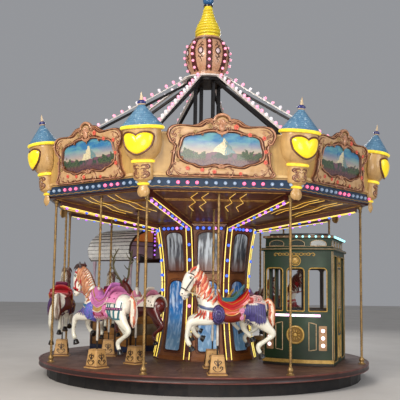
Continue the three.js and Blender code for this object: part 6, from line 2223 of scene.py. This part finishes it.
def swollen(length, width, thick, cap):
    """Foam in its cover: a block a little too small, blown up as cloth and held where it rests."""
    x, y, high = length / 2 - cap * 0.7, width / 2 - cap * 0.7, thick - cap
    block = bpy.data.meshes.new("swelling")
    block.from_pydata([(s * x, t * y, z) for z in (0, high) for s, t in ((-1, -1), (1, -1), (1, 1),
                                                                         (-1, 1))], [],
                      [(3, 2, 1, 0), (4, 5, 6, 7), (0, 1, 5, 4), (1, 2, 6, 5), (2, 3, 7, 6), (3, 0, 4, 7)])
    foam = set_out("swelling", block)
    fine = foam.modifiers.new("fine", "REMESH")
    fine.mode = "VOXEL"
    fine.voxel_size = 0.024
    foam.data = final_mesh(foam)
    foam.modifiers.clear()
    rest = np.array([point.co for point in foam.data.vertices])
    held = foam.vertex_groups.new(name="held")
    held.add([int(n) for n in np.flatnonzero(rest[:, 2] < rest[:, 2].min() + 0.003)], 1.0, "REPLACE")
    blown = foam.modifiers.new("blown", "CLOTH")
    blown.settings.use_pressure = True
    blown.settings.uniform_pressure_force = 4
    blown.settings.effector_weights.gravity = 0
    blown.settings.vertex_group_mass = "held"
    for moment in range(1, 21):
        bpy.context.scene.frame_set(moment)
    graph = bpy.context.evaluated_depsgraph_get()
    moved = np.array([point.co for point in foam.evaluated_get(graph).data.vertices]) - rest
    bpy.context.scene.frame_set(1)
    foam.modifiers.clear()
    moved *= min(1.0, cap / np.linalg.norm(moved, axis=1).max())
    foam.data.vertices.foreach_set("co", (rest + moved).astype(np.float32).ravel())
    foam.modifiers.new("smoother", "SUBSURF").levels = 1
    cover = final_mesh(foam)
    points = np.array([point.co for point in cover.vertices])
    faces = [list(face.vertices) for face in cover.polygons]
    bpy.data.objects.remove(foam)
    return points, faces


covers = {}


def cushion(name, length, width, thick, finish, place, channels=2, cap=0.016):
    """A crowned pad with sewn channels and a piping round its middle, resting on a flat underside."""
    size = (length, width, thick)
    if size not in covers:
        covers[size] = swollen(length, width, thick, cap)
    points, faces = covers[size]
    points = points.copy()
    high = points[:, 2].max()
    raised = np.clip(points[:, 2] / high, 0, 1)
    for seam in np.linspace(-length / 2, length / 2, channels + 2)[1:-1]:
        points[:, 2] -= 0.012 * raised * np.exp(-((points[:, 0] - seam) / 0.011) ** 2)
    level = points[(points[:, 2] > high * 0.3) & (points[:, 2] < high * 0.6)]
    piping = []
    for n in range(96):
        a = n * pi / 48
        s, t = cos(a), sin(a)
        corner = max(abs(s), abs(t))
        aim = np.array([s / corner * length / 2, t / corner * width / 2])
        near = level[np.argmin(np.hypot(level[:, 0] - aim[0], level[:, 1] - aim[1]))]
        piping.append((near[0], near[1], high * 0.45))
    pad = Form()
    pad.add((points, faces, np.ones(len(points))))
    pad.add(sweep(piping, 0.0055, 0.0055, (0, 0, 1), 6, True), 1)
    made = pad.piece(name, finish, place, 50)
    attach(made, "turntable")
    return made


vinyl_edge = paint("vinyl_edge", "3a140d", "24100b", scale=14, rough=0.4)
for name, x, y in (("cab_seat_front", -0.153, 0), ("cab_seat_back", 0.193, 0)):
    seat = cushion(name, 1.05, 0.275, 0.06, [cab_leather, vinyl_edge],
                   CAB_PLACE @ moved_by(x, y, 0.401) @ upright(pi / 2))
for name, x, hand in (("cab_pad_front", -0.009, -1), ("cab_pad_back", 0.049, 1)):
    rested = tipped(hand * pi / 2, "Y") @ upright(pi / 2)
    pad = cushion(name, 1.05, 0.36, 0.045, [cab_leather, vinyl_edge], CAB_PLACE @ moved_by(x, 0, 0.7)
                  @ rested)

# Wagon: a tub of painted planks in three rows with battens, on a dark blue sole, with benches at its
# ends, four turned posts and a vaulted roof with white shingles between two boarded gables.
WAGON_X, WAGON_Y = 0.66, 0.57
TAN, GREY, SOLE, BATTEN, POST = range(5)
WAGON_PLACE = upright(-3 * SIDE) @ moved_by(0, -1.9, DECK)


def plank_grain(tree, place, tint):
    """Grain along the planks."""
    spread = stretched(tree, place, (2.5, 2.5, 60))
    streaks = noise(tree, spread, 1.0, 5.0)
    dark = fade(tree, streaks, 0.45, 0.7, 0.0, 0.6)
    return mix(tree, dark, tint, ink("6b4420"))


wagon_tan = paint("wagon_tan", "b8813f", "94632c", scale=4, rough=0.45, bump=0.2, grain=60, over=plank_grain)
wagon_grey = paint("wagon_grey", "8a7a62", "6f5f49", scale=4, rough=0.5, bump=0.2, grain=60,
                   over=plank_grain)
wagon_blue = paint("wagon_blue", "1d2a4e", "131c37", scale=8, rough=0.4, coat=0.3)
wagon_dark = paint("wagon_dark", "3a2114", "24140c", scale=9, rough=0.45)
post_mauve = paint("post_mauve", "c3aebb", "a88f9e", scale=6, rough=0.38, coat=0.3)
tub = Form()
for side, along, half in ((0, WAGON_X, WAGON_Y), (1, WAGON_X, WAGON_Y), (2, WAGON_Y, WAGON_X),
                          (3, WAGON_Y, WAGON_X)):
    turn = upright((0, pi, pi / 2, -pi / 2)[side])
    split = [(-along, -0.24), (0.24, along)] if side == 0 else [(-along, along)]
    for u1, u2 in split:
        tub.add(box((u1, -half + 0.003, 0.004), (u2, -half + 0.05, 0.108)), SOLE, turn)
        for row, (z1, z2) in enumerate(((0.112, 0.318), (0.323, 0.529), (0.534, 0.735))):
            # The planks of side 3 and the middle row of side 1 take the greyer tan.
            finish = GREY if side == 3 or (row == 1 and side == 1) else TAN
            plank = [[(u, -half + d, z) for d, z in (
                (0.006, z1), (0.002, z1 + 0.006), (0.002, z2 - 0.006), (0.006, z2), (0.046, z2),
                (0.046, z1))] for u in np.linspace(u1, u2, 5)]
            tub.add(loft(plank), finish, turn)
            tub.add(box((u1, -half + 0.012, z1 - 0.006), (u2, -half + 0.044, z2 + 0.006)), BATTEN, turn)
        for u in np.linspace(u1 + 0.045, u2 - 0.045, 2 if side == 0 else 4):
            tub.add(loft([[(u - 0.022, -half - 0.003, z), (u + 0.022, -half - 0.003, z),
                           (u + 0.026, -half + 0.01, z),
                           (u - 0.026, -half + 0.01, z)] for z in (0.112, 0.73)]), BATTEN, turn)
        rail = [(u, -half + 0.024, 0.742) for u in np.linspace(u1, u2, 5)]
        tub.add(sweep(rail, 0.024, 0.017, (0, 0, 1), 10), BATTEN, turn)
tub.add(box((-WAGON_X + 0.02, -WAGON_Y + 0.02, 0.02), (WAGON_X - 0.02, WAGON_Y - 0.02, 0.11)), BATTEN)
for x1, x2 in ((-WAGON_X + 0.045, -0.292), (0.292, WAGON_X - 0.045)):
    tub.add(box((x1, -0.524, 0.106), (x2, 0.524, 0.41)), SOLE)
for x in (-0.62, 0.62):
    for y in (-0.53, 0.53):
        post = [(0, 0.75), (0.034, 0.75), (0.038, 0.77), (0.03, 0.8), (0.024, 0.84), (0.03, 0.95),
                (0.033, 1.05), (0.025, 1.2),
                (0.022, 1.4), (0.022, 1.55), (0.034, 1.6), (0.026, 1.63), (0.038, 1.68), (0.038, 1.755),
                (0, 1.758)]
        tub.add(lathe(post, 16), POST, moved_by(x, y, 0))
        tub.add(box((x - 0.038, y - 0.038, 0.1), (x + 0.038, y + 0.038, 0.77)), BATTEN)
wagon_body = tub.piece("wagon_tub", [wagon_tan, wagon_grey, wagon_blue, wagon_dark, post_mauve], WAGON_PLACE)
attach(wagon_body, "turntable")
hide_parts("wagon_body")

VAULT_HALF, VAULT_RISE, VAULT_DROP, VAULT_EAVES, VAULT_Y = 0.75, 0.45, 0.21, 1.7603, 0.61


def vault(t, y, inset=0.0):
    """A point of the vault: round it from one eaves to the other, along it, and inwards."""
    foot = -asin(VAULT_DROP / (VAULT_RISE - inset))
    angle = foot + (pi - 2 * foot) * t
    return ((VAULT_HALF - inset) * cos(angle), y, VAULT_EAVES + VAULT_DROP + (VAULT_RISE - inset)
            * sin(angle))


DARK, ORANGE, MAUVE, BROWN, RAY = range(1, 6)
GABLE_IN, GABLE_OUT = 0.515, 0.547
canopy = Form()
arc = np.linspace(0, 1, 33)
canopy.add(loft([[vault(t, -VAULT_Y, 0.012), vault(t, VAULT_Y, 0.012), vault(t, VAULT_Y, 0.045),
                  vault(t, -VAULT_Y, 0.045)] for t in arc]), DARK)
for y in (-VAULT_Y + 0.008, VAULT_Y - 0.008):
    canopy.add(sweep([vault(t, y, 0.01) for t in arc], 0.009, 0.009, (0, 1, 0), 8), DARK)


def gable_band(low, high, y1, y2, inset=0.03, steps=17):
    """A board across a gable between two heights, following the vault at its ends."""
    rows = []
    for z in np.linspace(low, high, steps):
        lift = (z - VAULT_EAVES - VAULT_DROP) / (VAULT_RISE - inset)
        half = (VAULT_HALF - inset) * sqrt(max(1 - lift * lift, 0.0)) + 0.002
        rows.append([(-half, y1, z), (half, y1, z), (half, y2, z), (-half, y2, z)])
    return loft(rows)


for hand in (-1, 1):
    y1, y2 = sorted((hand * GABLE_IN, hand * GABLE_OUT))
    face = hand * GABLE_OUT
    canopy.add(gable_band(2.145, 2.378, y1, y2), ORANGE)
    canopy.add(gable_band(1.99, 2.145, y1, y2), MAUVE)
    edge_x = (VAULT_HALF - 0.03) * 0.9
    peaked = [(-edge_x, 1.80), (-0.56, 1.83), (-0.38, 1.885), (-0.2, 1.83), (0, 1.80), (0.2, 1.83),
              (0.38, 1.885), (0.56, 1.83), (edge_x, 1.80)]
    skirt = [[(x, y1, z), (x, y2, z), (x, y2, 1.995), (x, y1, 1.995)] for x, z in flow(peaked, 33)]
    canopy.add(loft(skirt), MAUVE)
    canopy.add(sweep([(x, face + hand * 0.004, z + 0.008) for x, z in flow(peaked, 33)], 0.012, 0.008,
                     (0, hand, 0), 6), BROWN)
    for z, reach in ((2.145, 0.64), (2.06, 0.69)):
        canopy.add(sweep([(x, face + hand * 0.004, z) for x in np.linspace(-reach, reach, 9)], 0.011, 0.008,
                         (0, hand, 0), 6), BROWN)
    canopy.add(loft([[(-0.035, face - hand * 0.002, z), (0.035, face - hand * 0.002, z),
                      (0.03, face + hand * 0.012, z),
                      (-0.03, face + hand * 0.012, z)] for z in (1.82, 2.372)]), RAY)
# The gables' orange and mauve glow a little: painted light.
gable_orange = paint("gable_orange", "d07c30", "b06022", scale=4, rough=0.42, coat=0.2, glow=0.3)
gable_mauve = paint("gable_mauve", "8d7280", "735b6a", scale=4, rough=0.45, glow=0.15)
gable_brown = paint("gable_brown", "4e2a1c", "351b12", scale=9, rough=0.4)
# The white shingles glow a little: painted light.
shingle_white = paint("shingle_white", "e6e4de", "c9c8c6", scale=9, rough=0.5, bump=0.25, glow=0.12)
wagon_roof = canopy.piece("wagon_canopy", [shingle_white, wagon_dark, gable_orange, gable_mauve,
                                           gable_brown, maroon], WAGON_PLACE)
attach(wagon_roof, "turntable")
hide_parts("wagon_roof")

SHINGLE_ROWS, SHINGLES_ACROSS = 24, 11
shingle = Form()
shingle.add(loft([[(-0.053, y, z), (0.053, y, z), (0.053, y, z + 0.006), (-0.053, y, z + 0.006)]
                  if abs(y) < 0.03 else
                  [(-0.053 + 0.012, y, z), (0.053 - 0.012, y, z), (0.053 - 0.012, y, z + 0.005),
                   (-0.053 + 0.012, y, z + 0.005)]
                  for y, z in ((-0.036, 0.006), (-0.028, 0.005), (0.028, 0.0), (0.034, -0.001))]))
places = []
for row in range(SHINGLE_ROWS):
    t = (row + 0.5) / SHINGLE_ROWS
    ahead, behind = Vector(vault(t + 0.01, 0, 0.0095)), Vector(vault(t - 0.01, 0, 0.0095))
    up_slope = (ahead - behind).normalized() * (1 if t < 0.5 else -1)
    out = Vector((0, 1, 0)).cross(up_slope)
    if out.z < 0 and abs(out.x) < 0.9 or out.dot(Vector(vault(t, 0))
                                                 - Vector((0, 0, VAULT_EAVES + VAULT_DROP))) < 0:
        out.negate()
    for n in range(SHINGLES_ACROSS + row % 2):
        y = (n - (SHINGLES_ACROSS - 1 + row % 2) / 2) * 0.1085 * (1 if row % 2 == 0 else 0.985)
        if abs(y) > VAULT_Y - 0.05:
            y = copysign(VAULT_Y - 0.056, y)
        across = up_slope.cross(out)
        turned = Matrix((across, up_slope, out)).transposed().to_4x4()
        places.append(WAGON_PLACE @ Matrix.Translation(Vector(vault(t, y, 0.0095))) @ turned)
shingles = lay_out("wagon_shingles", shingle, places, shingle_white, unevenness=0.03, seed=11)
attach(shingles, "turntable")

places = [WAGON_PLACE @ moved_by(0, hand * 0.562, z) @ tipped(-hand * pi / 2)
          for hand in (-1, 1) for z in (2.31, 2.235, 2.17, 2.09, 1.99, 1.9)]
gable_bulbs = lay_out("wagon_gable_bulbs", bulb(0.02), places, bulb_purple)
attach(gable_bulbs, "turntable")
lantern = Form()
lantern.add(sweep([(0, 0, z) for z in np.linspace(2.05, 2.37, 5)], 0.006, 0.006, (0, 1, 0), 6), 1)
lantern.add(lathe([(0, 1.84), (0.02, 1.845), (0.034, 1.87), (0.042, 1.9), (0.058, 1.96), (0.06, 2.0),
                   (0.034, 2.03), (0.012, 2.045), (0.01, 2.06), (0, 2.062)], 8), 0)
for k in range(8):
    ray = to_side(k)
    lantern.add(sweep([(0.045, 0, 1.875), (0.063, 0, 1.96), (0.064, 0, 2.0), (0.038, 0, 2.035)], 0.004,
                      0.004, (1, 0, 0), 5), 1, ray)
lantern_glow = paint("lantern_glow", "e6dcff", "c9a2f2", scale=14, rough=0.3, glow=1.1)
lantern = lantern.piece("wagon_lantern", [lantern_glow, gold_bead], WAGON_PLACE)
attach(lantern, "turntable")

# Wagon cushions: foam in maroon cloth on the two benches and in dark blue cloth against the tub's
# ends. Each is sewn across in two channels and has a pale blue piping round its middle.
seat_maroon = paint("seat_maroon", "7a2030", "571522", scale=11, rough=0.5, bump=0.3, grain=160)
piping_blue = paint("piping_blue", "7fa9d6", "5f8abb", scale=14, rough=0.45)
back_blue = paint("back_blue", "1e2c5c", "141d40", scale=11, rough=0.5, bump=0.3, grain=160)
for name, hand in (("wagon_seat_left", -1), ("wagon_seat_right", 1)):
    seat = cushion(name, 1.0, 0.3, 0.065, [seat_maroon, piping_blue],
                   WAGON_PLACE @ moved_by(hand * 0.452, 0, 0.411) @ upright(pi / 2))
for name, hand in (("wagon_back_left", -1), ("wagon_back_right", 1)):
    rested = tipped(-hand * pi / 2, "Y") @ upright(pi / 2)
    pad = cushion(name, 0.96, 0.26, 0.05, [back_blue, piping_blue], WAGON_PLACE @ moved_by(hand * 0.607, 0,
                                                                                        0.605) @ rested)

# Stage: a plain pale floor and soft studio light, with the camera where the photograph was taken from.
floor_mesh = bpy.data.meshes.new("studio_floor")
floor_mesh.from_pydata([(-40, -40, 0), (40, -40, 0), (40, 40, 0), (-40, 40, 0)], [], [(0, 1, 2, 3)])
floor = set_out("studio_floor", floor_mesh)
floor_mesh.materials.append(paint("studio_floor", "cfcac4", "c6c1bb", scale=0.6, rough=0.75, bump=0.03))

world = bpy.data.worlds.new("studio")
world.use_nodes = True
world.node_tree.nodes["Background"].inputs["Color"].default_value = (0.83, 0.85, 0.9, 1)
world.node_tree.nodes["Background"].inputs["Strength"].default_value = 0.36
bpy.context.scene.world = world
bpy.context.scene.view_settings.view_transform = "Standard"


def soft_light(name, place, aim, size, power, colour):
    lamp = bpy.data.lights.new(name, "AREA")
    lamp.shape = "DISK"
    lamp.size = size
    lamp.energy = power
    lamp.color = colour
    lit = set_out(name, lamp)
    lit.location = place
    lit.rotation_euler = (Vector(aim) - Vector(place)).to_track_quat("-Z", "Y").to_euler()


soft_light("key_light", (-7, -11, 8), (0, 0, 2.2), 6, 1350, (1.0, 0.96, 0.9))
soft_light("fill_light", (9, -9, 5), (0, 0, 2.0), 7, 420, (0.9, 0.94, 1.0))
soft_light("back_light", (2, 11, 8), (0, 0, 3.0), 6, 500, (1.0, 1.0, 1.0))
soft_light("low_light", (0, -12, 1.0), (0, 0, 2.4), 5, 420, (1.0, 0.95, 0.9))

lens = bpy.data.cameras.new("photo_camera")
lens.sensor_width = 36
lens.lens = 64.71
lens.clip_end = 200
camera = set_out("photo_camera", lens)
pitch, yaw, roll, phi = 0.1120, -0.0080, 0.0140, 0.0784
ahead = Vector((sin(yaw) * cos(pitch), cos(yaw) * cos(pitch), sin(pitch)))
rightward = Vector((cos(yaw), -sin(yaw), 0))
upward = rightward.cross(ahead)
rolled_right = cos(roll) * rightward + sin(roll) * upward
rolled_up = -sin(roll) * rightward + cos(roll) * upward
basis = Matrix((rolled_right, rolled_up, -ahead)).transposed().to_4x4()
camera.matrix_world = upright(-phi) @ moved_by(0, -13.6335, 1.3929 + DECK) @ basis
bpy.context.scene.camera = camera
